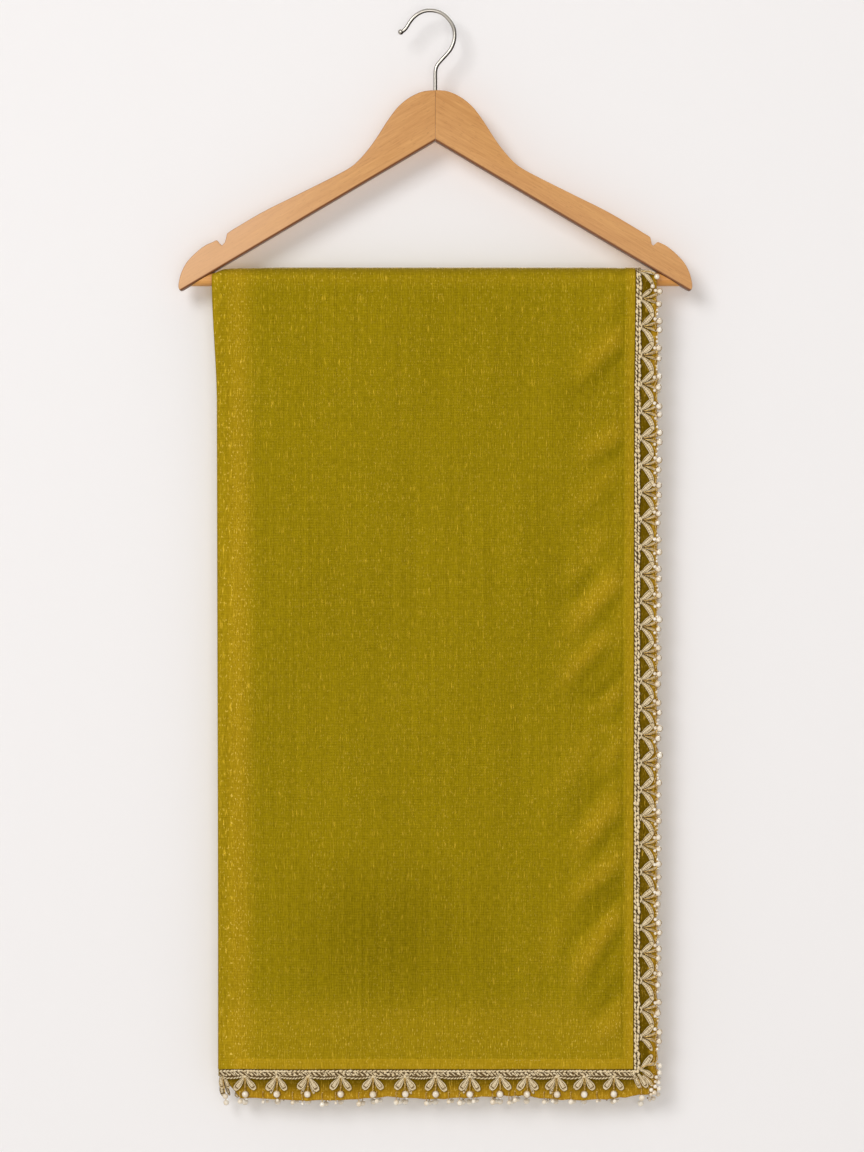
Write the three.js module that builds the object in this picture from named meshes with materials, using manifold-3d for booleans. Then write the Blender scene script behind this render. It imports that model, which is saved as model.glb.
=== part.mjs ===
// Saree folded in thirds across, hung over the trouser bar of a wooden hanger.
// Millimetres, +Z up, front towards -Y. The origin is where a rail bears under the top of the hook.

import * as THREE from 'three';
import { mergeVertices } from 'three/addons/utils/BufferGeometryUtils.js';
import Module from 'manifold-3d';

const wasm = await Module();
wasm.setup();

// General
const SEAM_GAP = 0.3;
const HANGER_X = 4;

// Hook: a steel wire bent in one plane, points are x and z of its centre line
const WIRE_RADIUS = 1.65;
const WIRE_SIDES = 8;
const WIRE_STEPS = 42;
const BALL_RADIUS = 2.4;
const HOOK_LINE = [
  [-25.9, -17.0], [-23.9, -16.1], [-21.2, -13.4], [-18.4, -8.9], [-14.7, -4.3], [-9.9, -0.7],
  [-5.0, 1.2], [0.4, 1.65], [6.5, 0.6], [12.0, -2.4], [16.9, -7.7], [20.0, -13.8], [20.8, -19.9],
  [19.9, -26.0], [17.3, -32.0], [13.3, -37.0], [8.9, -41.8], [5.6, -46.0], [4.2, -50.5],
  [4.0, -57.0], [4.0, -70.0], [4.0, -97.0],
];

// Arms: outline of the half on the +X side, points are distance from the centre and z
const ARM_DEPTH = 14;
const ARM_EDGE_ROUND = 1.9;
const ARM_JOINT_HALF_GAP = 0.15;
const ARM_LOWER_APEX_Z = -111.9;
const ARM_LOWER_SLOPE = 0.5906;
const ARM_TIP_X = 219.1;
const ARM_TOP_LINE = [
  [0, -68.2], [5.5, -68.5], [9.8, -69.1], [13.6, -70.2], [19.4, -72.8], [25.1, -76.4], [30.6, -81],
  [35.3, -86.2], [42.6, -96.4], [50, -108.1], [57.2, -118.3], [66.1, -128.6], [74.9, -135.9],
  [92.5, -145.3], [121.8, -159.9], [151.1, -174.6], [184.8, -194.6], [187.9, -202.6],
  [192.2, -199.7], [198.6, -202.3], [204.2, -206.2], [211.4, -212.8], [216.3, -218.8],
  [220.2, -226.7], [222.1, -234.4], [222.4, -238.8], [221.2, -241.2],
];
const HOOK_BORE_BOTTOM_Z = -98;

// Trouser bar
const BAR_RADIUS = 6;
const BAR_Z = -231.6;
const BAR_SIDES = 28;
const SPIGOT_RADIUS = 3.5;
const SPIGOT_END_X = 214;
const BAR_BORE_END_X = 215;

// How the cloth hangs: each half leaves the bar and closes to a narrow gap lower down
const HALF_GAP = 1.2;
const CLOSING_DROP = 225;
const CROWN_RADIUS = BAR_RADIUS + 3.4;
const QUARTER_RUN = CROWN_RADIUS * Math.PI / 2;

// Thickness of what is folded up, measured out from the bar
const CLOTH_WALL = 1;
const HEM_RAISE = 0.45;
const HIDDEN_AT_CROWN = 1;
const HIDDEN_SWELL = 2.2;
const SWELL_DROP = 230;

// Outer stretch, drops are below the bar's axis
const FRONT_HEM_DROP = 684.3;
const BACK_HEM_DROP = 691.5;
const SPLIT_GAP = 0.5;
const HEM_DEPTH = 9.5;
const SIDE_HEM_DEPTH = 9.2;
const HEM_STEP = 0.8;
const ROLL_REACH = 7.5;
const LEFT_EDGE = { atBar: -189.5, atMid: -185.2, atFoot: -184.3 };
const RIGHT_HEM = { atBar: 177.3, atMid: 176.2, atFoot: 175.5 };

// Under stretch
const UNDER_RIGHT_X = 196.3;
const UNDER_ROLL_REACH = 8;
const UNDER_FOOT_DROP = 710.1;

// Lace
const LACE_THICK = 1.5;
const BEAD_RAISE = 1.3;
const SIDE_PITCH = 23.68;
const SIDE_MOTIFS = 28;
const SIDE_FIRST_DROP = 15.8;
const CORNER_RISE = 5.5;
const SIDE_BRAID = 5.4;
const FOOT_BRAID = 7.4;

const COLOURS = {
  steel: 0xb9bcc0,
  wood: 0xcf9a62,
  olive: 0x93800f,
  mustard: 0xb98818,
  lace: 0xe3d5bb,
};

const paint = (colour, metalness = 0, roughness = 0.8) =>
  new THREE.MeshStandardMaterial({ color: colour, metalness, roughness });

const smooth = (t) => {
  const c = Math.min(1, Math.max(0, t));
  return c * c * (3 - 2 * c);
};

const mix = (a, b, t) => a + (b - a) * t;

// Solids from three.js geometry and back
function toSolid(geometry) {
  const bare = geometry.clone();
  bare.deleteAttribute('normal');
  bare.deleteAttribute('uv');
  const welded = mergeVertices(bare, 1e-4);
  return new wasm.Manifold(new wasm.Mesh({
    numProp: 3,
    vertProperties: new Float32Array(welded.attributes.position.array),
    triVerts: new Uint32Array(welded.index.array),
  }));
}

function toGeometry(solid) {
  const mesh = solid.getMesh();
  const geometry = new THREE.BufferGeometry();
  geometry.setAttribute('position', new THREE.BufferAttribute(new Float32Array(mesh.vertProperties), 3));
  geometry.setIndex(Array.from(mesh.triVerts));
  return geometry;
}

// A closed mesh whose faces are turned outward
function closedGeometry(positions, faces) {
  const at = (i) => new THREE.Vector3(positions[3 * i], positions[3 * i + 1], positions[3 * i + 2]);
  let volume = 0;
  for (const [a, b, c] of faces) {
    volume += at(a).dot(at(b).cross(at(c)));
  }
  const turned = volume < 0 ? faces.map(([a, b, c]) => [a, c, b]) : faces;
  const geometry = new THREE.BufferGeometry();
  geometry.setAttribute('position', new THREE.BufferAttribute(new Float32Array(positions), 3));
  geometry.setIndex(turned.flat());
  return geometry;
}

function named(name, geometry, material) {
  geometry.computeVertexNormals();
  const mesh = new THREE.Mesh(geometry, material);
  mesh.name = name;
  return mesh;
}

function box(x0, x1, y0, y1, z0, z1) {
  const geometry = new THREE.BoxGeometry(x1 - x0, y1 - y0, z1 - z0);
  geometry.translate((x0 + x1) / 2, (y0 + y1) / 2, (z0 + z1) / 2);
  return toSolid(geometry);
}

function rodAlongX(radius, x0, x1, z, sides) {
  const geometry = new THREE.CylinderGeometry(radius, radius, x1 - x0, sides);
  geometry.rotateZ(Math.PI / 2);
  geometry.translate((x0 + x1) / 2, 0, z);
  return toSolid(geometry);
}

// An outline in x and z, extruded through the hanger's depth
function plate(outline, depth, round) {
  const shape = new THREE.Shape(outline.map(([x, z]) => new THREE.Vector2(x, z)));
  const geometry = new THREE.ExtrudeGeometry(shape, {
    depth: depth - 2 * round,
    bevelEnabled: round > 0,
    bevelThickness: round,
    bevelSize: round,
    bevelOffset: -round,
    bevelSegments: 2,
    curveSegments: 1,
  });
  geometry.translate(0, 0, -(depth - 2 * round) / 2);
  geometry.rotateX(Math.PI / 2);
  return toSolid(geometry);
}

function hookGeometry() {
  const points = HOOK_LINE.map(([x, z]) => new THREE.Vector3(x, 0, z));
  const ring = [];
  for (let i = 0; i < WIRE_SIDES; i += 1) {
    const angle = 2 * Math.PI * i / WIRE_SIDES;
    ring.push(new THREE.Vector2(WIRE_RADIUS * Math.cos(angle), WIRE_RADIUS * Math.sin(angle)));
  }
  const wire = new THREE.ExtrudeGeometry(new THREE.Shape(ring), {
    steps: WIRE_STEPS,
    bevelEnabled: false,
    extrudePath: new THREE.CatmullRomCurve3(points),
  });
  const ball = new THREE.SphereGeometry(BALL_RADIUS, 10, 7);
  ball.translate(HOOK_LINE[0][0], 0, HOOK_LINE[0][1]);
  return toGeometry(toSolid(wire).add(toSolid(ball)));
}

const armLowerZ = (fromCentre) => ARM_LOWER_APEX_Z - ARM_LOWER_SLOPE * fromCentre;

function armGeometry(side) {
  const joint = -6;
  const half = [[joint, ARM_TOP_LINE[0][1]], ...ARM_TOP_LINE];
  half.push([ARM_TIP_X, armLowerZ(ARM_TIP_X)], [joint, armLowerZ(joint)]);
  const outline = half.map(([x, z]) => [HANGER_X + side * x, z]);
  const cutStart = side > 0 ? HANGER_X + ARM_JOINT_HALF_GAP : HANGER_X - 260;
  const cutEnd = side > 0 ? HANGER_X + 260 : HANGER_X - ARM_JOINT_HALF_GAP;
  const stem = new THREE.CylinderGeometry(
    WIRE_RADIUS + SEAM_GAP, WIRE_RADIUS + SEAM_GAP, -HOOK_BORE_BOTTOM_Z, 16,
  );
  stem.rotateX(Math.PI / 2);
  stem.translate(HANGER_X, 0, HOOK_BORE_BOTTOM_Z / 2);
  const boreEnds = [HANGER_X + side * 150, HANGER_X + side * BAR_BORE_END_X].sort((a, b) => a - b);
  const bore = rodAlongX(SPIGOT_RADIUS + SEAM_GAP, boreEnds[0], boreEnds[1], BAR_Z, 20);
  const body = plate(outline, ARM_DEPTH, ARM_EDGE_ROUND)
    .intersect(box(cutStart, cutEnd, -20, 20, -260, -50))
    .subtract(toSolid(stem))
    .subtract(bore);
  return toGeometry(body);
}

function barGeometry() {
  const reach = SPIGOT_END_X;
  const gapDown = SEAM_GAP * Math.hypot(1, ARM_LOWER_SLOPE);
  const below = plate([
    [HANGER_X - reach, -300],
    [HANGER_X + reach, -300],
    [HANGER_X + reach, armLowerZ(reach) - gapDown],
    [HANGER_X, armLowerZ(0) - gapDown],
    [HANGER_X - reach, armLowerZ(reach) - gapDown],
  ], 40, 0);
  const body = rodAlongX(BAR_RADIUS, HANGER_X - reach, HANGER_X + reach, BAR_Z, BAR_SIDES).intersect(below);
  const spigots = rodAlongX(SPIGOT_RADIUS, HANGER_X - reach, HANGER_X + reach, BAR_Z, 20);
  return toGeometry(body.add(spigots));
}

// Where the cloth goes. A run is measured along the cloth from the top of the crown, positive in front;
// an offset is measured out from the bar, or from the line the half hangs on.
const hangOut = (drop) => mix(BAR_RADIUS, HALF_GAP, smooth(drop / CLOSING_DROP));

function hangPoint(x, run, offset) {
  const side = run < 0 ? 1 : -1;
  const length = Math.abs(run);
  if (length <= QUARTER_RUN) {
    const angle = length / CROWN_RADIUS;
    const radius = BAR_RADIUS + offset;
    return [x, side * radius * Math.sin(angle), BAR_Z + radius * Math.cos(angle)];
  }
  const drop = length - QUARTER_RUN;
  return [x, side * (hangOut(drop) + offset), BAR_Z - drop];
}

const runAt = (drop) => QUARTER_RUN + drop;
const dropOf = (run) => Math.abs(run) - QUARTER_RUN;

// Furthest a layer can reach sideways under the sloping lower edge of an arm
function armLimit(run, offset) {
  const top = hangPoint(0, run, offset)[2];
  return (-top + ARM_LOWER_APEX_Z - 0.8) / ARM_LOWER_SLOPE;
}

function edgeAt(edge, run) {
  const drop = Math.max(0, dropOf(run));
  const upper = mix(edge.atBar, edge.atMid, smooth(drop / 110));
  return mix(upper, edge.atFoot, smooth((drop - 110) / 500));
}

const leftEdge = (run) => Math.max(edgeAt(LEFT_EDGE, run), HANGER_X - armLimit(run, 4));
const rightHem = (run) => edgeAt(RIGHT_HEM, run);
const underRight = (run) => Math.min(UNDER_RIGHT_X, HANGER_X + armLimit(run, 3));

// Offsets of the layers. The folded-up middle is thinner towards the fold and uneven lower down.
function hiddenThick(x, run) {
  const drop = Math.max(0, dropOf(run));
  const full = HIDDEN_AT_CROWN + HIDDEN_SWELL * smooth(drop / SWELL_DROP);
  const towardsFold = smooth((x - leftEdge(run)) / 38);
  const side = run < 0 ? 1.7 : 0;
  const wave = 0.4 * Math.sin(x / 58 + 0.8 + side) * Math.sin(drop / 118 + side)
    + 0.25 * Math.sin(x / 83 - drop / 90 + side);
  return full * mix(0.72, 1, towardsFold) + wave * smooth(drop / 160) * towardsFold;
}

const underIn = (x, run) => SEAM_GAP + hiddenThick(x, run) + SEAM_GAP;
const underOut = (x, run) => underIn(x, run) + CLOTH_WALL;
const outerIn = (x, run) => underOut(x, run) + SEAM_GAP;
const outerOut = (x, run) => outerIn(x, run) + CLOTH_WALL;

// A cloth body: sections across the cloth, each a row of outer and inner points, joined into one skin
function clothGeometry(sections) {
  const positions = [];
  const faces = [];
  const count = sections[0].length;
  const index = (row, column, layer) => (row * count + column) * 2 + layer;
  for (const section of sections) {
    for (const [outer, inner] of section) {
      positions.push(...outer, ...inner);
    }
  }
  const quad = (a, b, c, d) => faces.push([a, b, c], [a, c, d]);
  const last = count - 1;
  for (let row = 0; row + 1 < sections.length; row += 1) {
    for (let column = 0; column < last; column += 1) {
      quad(index(row, column, 0), index(row, column + 1, 0), index(row + 1, column + 1, 0), index(row + 1, column, 0));
      quad(index(row, column + 1, 1), index(row, column, 1), index(row + 1, column, 1), index(row + 1, column + 1, 1));
    }
    quad(index(row, 0, 1), index(row, 0, 0), index(row + 1, 0, 0), index(row + 1, 0, 1));
    quad(index(row, last, 0), index(row, last, 1), index(row + 1, last, 1), index(row + 1, last, 0));
  }
  const foot = sections.length - 1;
  for (let column = 0; column < last; column += 1) {
    quad(index(0, column, 1), index(0, column + 1, 1), index(0, column + 1, 0), index(0, column, 0));
    quad(index(foot, column, 0), index(foot, column + 1, 0), index(foot, column + 1, 1), index(foot, column, 1));
  }
  return closedGeometry(positions, faces);
}

// The rolled fold at an edge, as pairs of x and offset: it starts tucked in and ends on the outside
const ROLL_ANGLES = [0, 42, 80, 115, 148];

function foldRoll(edge, inward, reach, low, high) {
  const middle = (low + high) / 2;
  const half = (high - low) / 2;
  return ROLL_ANGLES.map((degrees) => {
    const angle = THREE.MathUtils.degToRad(degrees);
    const outer = [edge + inward * reach * (1 - Math.sin(angle)), middle - half * Math.cos(angle)];
    const inner = [
      edge + inward * (reach - (reach - CLOTH_WALL) * Math.sin(angle)),
      middle - (half - CLOTH_WALL) * Math.cos(angle),
    ];
    return [outer, inner];
  });
}

// Levels, below the bar's axis, at which the draped bodies have a section
const DRAPE_DROPS = [14, 40, 70, 104, 140, 176, 212, 250, 330, 420, 520, 620];
const CROWN_ANGLES = [-90, -66, -44, -22, 0, 22, 44, 66, 90];
const crownRun = (degrees) => CROWN_RADIUS * THREE.MathUtils.degToRad(degrees);

// Columns of the outer stretch, as distances from the end of the rolled fold and from the side hem
const FRONT_COLUMNS = {
  fromFold: [0, 9, 20, 34, 100, 165, 230, 276],
  fromHem: [62, 46, 32, 20, 11, SIDE_HEM_DEPTH, SIDE_HEM_DEPTH - HEM_STEP, 0],
};
const BACK_COLUMNS = {
  fromFold: [0, 10, 21, 36, 110, 185, 258],
  fromHem: [46, SIDE_HEM_DEPTH, SIDE_HEM_DEPTH - HEM_STEP, 0],
};

// Diagonal folds near the side hem: how far down the middle of each one lies, and how far it stands out
const FRONT_ROWS = [
  { drop: 12, ridge: 0 }, { drop: 28, ridge: 0.4 }, { drop: 52, ridge: 0 }, { drop: 82, ridge: 1.9 },
  { drop: 110, ridge: 0.1 }, { drop: 134, ridge: 0.4 }, { drop: 158, ridge: 1.5 }, { drop: 181, ridge: 0.2 }, { drop: 203, ridge: 0.9 },
  { drop: 226, ridge: 0.1 }, { drop: 250, ridge: 0 }, { drop: 280, ridge: 0.1 }, { drop: 301, ridge: 2.3 }, { drop: 317, ridge: 0.6 },
  { drop: 332, ridge: 1.6 }, { drop: 352, ridge: 0.1 }, { drop: 374, ridge: 1.9 }, { drop: 400, ridge: 0.2 },
  { drop: 426, ridge: 1.4 }, { drop: 458, ridge: 0 }, { drop: 490, ridge: 1.9 }, { drop: 514, ridge: 0.3 },
  { drop: 538, ridge: 2.0 }, { drop: 566, ridge: 0.2 }, { drop: 594, ridge: 2.2 }, { drop: 624, ridge: 0.1 },
  { drop: 650, ridge: 1.4 },
];
const FOLD_RISE = 34;
const FOLD_START_X = 104;

function foldRise(x, drop) {
  const across = smooth((x - FOLD_START_X) / (RIGHT_HEM.atMid - FOLD_START_X));
  const down = smooth((drop - 18) / 90) * smooth((FRONT_HEM_DROP - HEM_DEPTH - drop) / 70);
  return FOLD_RISE * across * down;
}

function ridgeAcross(x) {
  return smooth((x - FOLD_START_X) / 34) * smooth((172 - x) / 12);
}

function outerSection(columns, run, hemRow, rise, ridge) {
  const edge = leftEdge(run);
  const hem = rightHem(run);
  const rollEnd = edge + ROLL_REACH;
  const roll = foldRoll(edge, 1, ROLL_REACH, SEAM_GAP, outerOut(rollEnd, run));
  const section = roll.map((pair) => pair.map(([x, offset]) => hangPoint(x, run, offset)));
  const columnXs = [
    ...columns.fromFold.map((distance) => rollEnd + distance),
    ...columns.fromHem.map((distance) => hem - distance),
  ];
  for (const x of columnXs) {
    const placed = run - Math.sign(run) * rise(x);
    const raise = hemRow || x > hem - SIDE_HEM_DEPTH + HEM_STEP / 2 ? HEM_RAISE : 0;
    const low = outerIn(x, placed) + ridge * ridgeAcross(x);
    section.push([
      hangPoint(x, placed, low + CLOTH_WALL + raise),
      hangPoint(x, placed, low),
    ]);
  }
  return section;
}

const still = () => 0;

function frontStretch() {
  const sections = [];
  for (const degrees of CROWN_ANGLES.slice(1)) {
    sections.push(outerSection(FRONT_COLUMNS, crownRun(degrees), false, still, 0));
  }
  for (const { drop, ridge } of FRONT_ROWS) {
    sections.push(outerSection(FRONT_COLUMNS, runAt(drop), false, (x) => foldRise(x, drop), ridge));
  }
  const hemLine = FRONT_HEM_DROP - HEM_DEPTH;
  sections.push(outerSection(FRONT_COLUMNS, runAt(hemLine), false, still, 0));
  sections.push(outerSection(FRONT_COLUMNS, runAt(hemLine + HEM_STEP), true, still, 0));
  sections.push(outerSection(FRONT_COLUMNS, runAt(FRONT_HEM_DROP), true, still, 0));
  return clothGeometry(sections);
}

function backStretch() {
  const sections = [];
  for (const run of [crownRun(CROWN_ANGLES[1]) - SPLIT_GAP, crownRun(CROWN_ANGLES[0])]) {
    sections.push(outerSection(BACK_COLUMNS, run, false, still, 0));
  }
  const hemLine = BACK_HEM_DROP - HEM_DEPTH;
  for (const drop of [...DRAPE_DROPS, hemLine]) {
    sections.push(outerSection(BACK_COLUMNS, -runAt(drop), false, still, 0));
  }
  sections.push(outerSection(BACK_COLUMNS, -runAt(hemLine + HEM_STEP), true, still, 0));
  sections.push(outerSection(BACK_COLUMNS, -runAt(BACK_HEM_DROP), true, still, 0));
  return clothGeometry(sections);
}

// Under stretch: its foot is a soft wavy fold and its lower left corner slants away
const UNDER_COLUMNS = [0, 12, 26, 64, 104, 146, 186, 226, 270, 315];
const FOOT_WAVE = [[-178, 0], [-150, 0.6], [-112, -1.6], [-74, -0.9], [-36, 1.8], [0, -0.4], [40, 1.4],
  [78, 3.0], [104, -0.3], [134, -1.2], [162, 0.6], [180, 3.2], [197, 5.4]];

function footWave(x) {
  for (let i = 0; i + 1 < FOOT_WAVE.length; i += 1) {
    const [x0, rise0] = FOOT_WAVE[i];
    const [x1, rise1] = FOOT_WAVE[i + 1];
    if (x <= x1) {
      return mix(rise0, rise1, smooth((x - x0) / (x1 - x0)));
    }
  }
  return FOOT_WAVE[FOOT_WAVE.length - 1][1];
}

function underSection(run) {
  const drop = dropOf(run);
  const nearFoot = smooth((drop - 640) / (UNDER_FOOT_DROP - 640));
  const corner = 15 * Math.max(0, (drop - 689) / (UNDER_FOOT_DROP - 689));
  const left = leftEdge(run) + ROLL_REACH + SEAM_GAP + corner;
  const right = underRight(run);
  const rollStart = right - UNDER_ROLL_REACH;
  const side = Math.sign(run);
  const section = UNDER_COLUMNS.map((column) => {
    const x = left + column;
    const placed = run - side * footWave(x) * nearFoot;
    return [hangPoint(x, placed, underOut(x, placed)), hangPoint(x, placed, underIn(x, placed))];
  });
  const high = underOut(rollStart, run);
  const rolled = run - side * footWave(right) * nearFoot;
  const roll = foldRoll(right, -1, UNDER_ROLL_REACH, SEAM_GAP, high).reverse();
  for (const pair of roll) {
    section.push(pair.map(([x, offset]) => hangPoint(x, rolled, offset)));
  }
  return section;
}


function drapedRuns(drops) {
  return [...drops.map((drop) => -runAt(drop)).reverse(), ...CROWN_ANGLES.map(crownRun), ...drops.map(runAt)];
}

function underStretch() {
  const drops = [...DRAPE_DROPS, 689, 698, UNDER_FOOT_DROP];
  return clothGeometry(drapedRuns(drops).map(underSection));
}

// Hidden layers: one rounded body, stepped at the foot where the folded edges lie over each other
const HIDDEN_COLUMNS = [0, 0.012, 0.035, 0.07, 0.14, 0.36, 0.58, 0.8, 0.988, 1];
const HIDDEN_NOSE = [0.42, 0.78, 1, 1, 1, 1, 1, 1, 0.78, 0.42];
const HIDDEN_FEET = [
  { drop: 690, share: 1 }, { drop: 690.6, share: 0.7 }, { drop: 696, share: 0.7 },
  { drop: 696.6, share: 0.42 }, { drop: 702, share: 0.42 },
];

function hiddenSection(run, share) {
  const left = leftEdge(run) + ROLL_REACH + SEAM_GAP;
  const right = underRight(run) - UNDER_ROLL_REACH - SEAM_GAP;
  return HIDDEN_COLUMNS.map((fraction, i) => {
    const x = mix(left, right, fraction);
    const thick = hiddenThick(x, run) * share;
    const nose = Math.max(HIDDEN_NOSE[i] * thick, Math.min(thick, 0.8));
    const middle = SEAM_GAP + thick / 2;
    return [hangPoint(x, run, middle + nose / 2), hangPoint(x, run, middle - nose / 2)];
  });
}

function hiddenLayers() {
  const runs = drapedRuns(DRAPE_DROPS);
  const front = HIDDEN_FEET.map(({ drop, share }) => hiddenSection(runAt(drop), share));
  const back = HIDDEN_FEET.map(({ drop, share }) => hiddenSection(-runAt(drop), share)).reverse();
  return clothGeometry([...back, ...runs.map((run) => hiddenSection(run, 1)), ...front]);
}

// Lace: flat cells, each an outline in across and along, that share the edges where they meet
function laceGeometry(cells, place) {
  const known = new Map();
  const points = [];
  const indexOf = ([across, along, raise]) => {
    const key = `${across.toFixed(3)},${along.toFixed(3)}`;
    if (!known.has(key)) {
      known.set(key, points.length);
      points.push([across, along, raise || 0]);
    }
    return known.get(key);
  };
  const caps = [];
  const edges = new Map();
  for (const outline of cells) {
    const contour = outline.map(([across, along]) => new THREE.Vector2(across, along));
    const counter = THREE.ShapeUtils.isClockWise(contour) ? outline.slice().reverse() : outline;
    const loop = counter.map(indexOf);
    const flat = counter.map(([across, along]) => new THREE.Vector2(across, along));
    for (const [a, b, c] of THREE.ShapeUtils.triangulateShape(flat, [])) {
      caps.push([loop[a], loop[b], loop[c]]);
    }
    loop.forEach((from, i) => {
      const to = loop[(i + 1) % loop.length];
      edges.set(`${from},${to}`, [from, to]);
    });
  }
  const positions = [];
  for (const [across, along, raise] of points) {
    positions.push(...place(across, along, LACE_THICK + raise), ...place(across, along, 0));
  }
  const faces = [];
  for (const [a, b, c] of caps) {
    faces.push([2 * a, 2 * b, 2 * c], [2 * a + 1, 2 * c + 1, 2 * b + 1]);
  }
  for (const [from, to] of edges.values()) {
    if (!edges.has(`${to},${from}`)) {
      faces.push([2 * from, 2 * from + 1, 2 * to + 1], [2 * from, 2 * to + 1, 2 * to]);
    }
  }
  return closedGeometry(positions, faces);
}

// Half a side motif from its middle line to the next cell: across from the hem, along from the middle
const SIDE_HALF = {
  inner: [[8.4, 6.6]],
  outer: [[15.2, 8.8], [9.4, 2.2]],
  beads: [[17.8, 2.4], [19.4, 6.0], [23.0, 4.9], [22.2, 1.2]],
  fork: [10.8, 0],
};
const SIDE_HALF_PLAIN = {
  inner: [[8.4, 6.6]],
  outer: [[9.2, 1.8]],
  beads: [[18.2, 5.2], [23.2, 4.4]],
  fork: [20.4, 0],
};
const SIDE_TIP = [12.9, 16.2];

function sideHalf(half, middle, end, way) {
  const scale = Math.abs(end - middle) / (SIDE_PITCH / 2);
  const at = ([across, along], raise) => [across, middle + way * along * scale, raise];
  return [
    [SIDE_BRAID, end],
    ...half.inner.map((point) => at(point, 0)),
    [SIDE_TIP[0], end],
    [SIDE_TIP[1], end],
    ...half.outer.map((point) => at(point, 0)),
    ...half.beads.map((point) => at(point, BEAD_RAISE)),
  ];
}

function sideCell(half, middle, start, end) {
  const fork = [half.fork[0], middle, 0];
  const outward = [[0, end], ...sideHalf(half, middle, end, 1)];
  const back = sideHalf(half, middle, start, -1).reverse();
  return [...outward, fork, ...back, [0, start]];
}

// The first leaf bends over the bar in front of the arm, so it is built in short lengths
function topLeaf(topMiddle, firstStart) {
  const lengths = [
    { run: 9.2, from: SIDE_BRAID, to: 8.6 },
    { run: crownRun(66), from: 6.9, to: 10.6 },
    { run: crownRun(90), from: 10, to: 14.4 },
    { run: firstStart, from: SIDE_TIP[0], to: SIDE_TIP[1] },
  ];
  const root = lengths[0];
  const cells = [[[0, topMiddle], [SIDE_BRAID, topMiddle], [root.to, root.run], [root.from, root.run], [0, root.run]]];
  for (let i = 0; i + 1 < lengths.length; i += 1) {
    const upper = lengths[i];
    const lower = lengths[i + 1];
    cells.push([[0, upper.run], [SIDE_BRAID, upper.run], [SIDE_BRAID, lower.run], [0, lower.run]]);
    cells.push([[upper.from, upper.run], [upper.to, upper.run], [lower.to, lower.run], [lower.from, lower.run]]);
  }
  return cells;
}

// Side lace: plain braid over the crown, then a motif for every pitch down to the corner
function sideLace(side, footDrop, half) {
  const cells = [];
  const firstStart = runAt(SIDE_FIRST_DROP) - SIDE_PITCH / 2;
  const topMiddle = firstStart - SIDE_PITCH / 2;
  const split = -crownRun(CROWN_ANGLES[1]);
  const crown = CROWN_ANGLES.slice(1).map(crownRun).filter((run) => run < topMiddle);
  const stops = side > 0 ? [...crown, topMiddle] : [];
  for (let i = 0; i + 1 < stops.length; i += 1) {
    cells.push([[0, stops[i]], [SIDE_BRAID, stops[i]], [SIDE_BRAID, stops[i + 1]], [0, stops[i + 1]]]);
  }
  if (side > 0) {
    cells.push(...topLeaf(topMiddle, firstStart));
  } else {
    cells.push([[0, firstStart], [SIDE_BRAID, firstStart], [SIDE_BRAID, split + SPLIT_GAP], [0, split + SPLIT_GAP]]);
  }
  const foot = runAt(footDrop);
  const corner = foot - CORNER_RISE;
  const pitch = (corner - firstStart) / (SIDE_MOTIFS + 0.5);
  for (let i = 0; i < SIDE_MOTIFS; i += 1) {
    const start = firstStart + pitch * i;
    cells.push(sideCell(half, start + pitch / 2, start, start + pitch));
  }
  const last = firstStart + pitch * SIDE_MOTIFS;
  cells.push([
    [0, last], ...sideHalf(half, corner, last, -1), [half.fork[0], corner, 0], [SIDE_BRAID, corner + 3.4],
    [SIDE_BRAID, foot], [0, foot],
  ]);
  return laceGeometry(cells, (across, along, height) => {
    const run = side > 0 ? along : -along;
    const x = rightHem(run) + SEAM_GAP + across;
    return hangPoint(x, run, outerIn(Math.min(x, 188), run) + height);
  });
}

// Foot lace: motif middles along the hem, measured in the front; each has two leaves, a stem and a pearl
const FOOT_MIDDLES = [-160.9, -133.1, -106.4, -78, -50, -22.3, 4.2, 33.8, 60, 83.6, 108.9, 133.1, 158.3];
const FOOT_FULL = [[8.3, 12.6], [6.6, 8.8], [8.0, 4.6], [12.4, 9.6], [17.6, 12.0], [19.2, 9.8], [16.0, 5.2],
  [10.6, 1.2], [18.0, 0.8], [20.0, 2.9], [23.2, 3.3], [25.6, 1.9]];
const FOOT_PLAIN = [[8.0, 4.6], [18.6, 11.6], [10.6, 1.2], [18.0, 0.8], [20.6, 3.2], [24.6, 2.8]];
const PEARL_FROM = 18;
const FOOT_LAST_END = 171.4;

function footHalf(half, middle, end) {
  const scale = (end - middle) / 13.3;
  return half.map(([across, along]) => [across, middle + along * scale, across > PEARL_FROM ? BEAD_RAISE : 0]);
}

// The motif that turns round the left fold, and the leaves that fan out at the hem's corner
const FOLD_MOTIF = [[7.4, 0], [16, 2], [19.5, 2.4], [24.4, 3], [25.4, 5.6], [22.4, 7.6], [18.6, 6.8], [7.4, 8.4]];
const CORNER_FAN = [[1.5, 3.4], [6.6, 8.6], [9.4, 7.6], [5.6, 1.4], [7.6, -0.4], [14.6, 2.6], [19.6, 3.4], [24.4, 2.6],
  [24.6, -0.2], [19.4, -1.4], [14.8, -1.4], [8.2, -5.2]];

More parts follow.
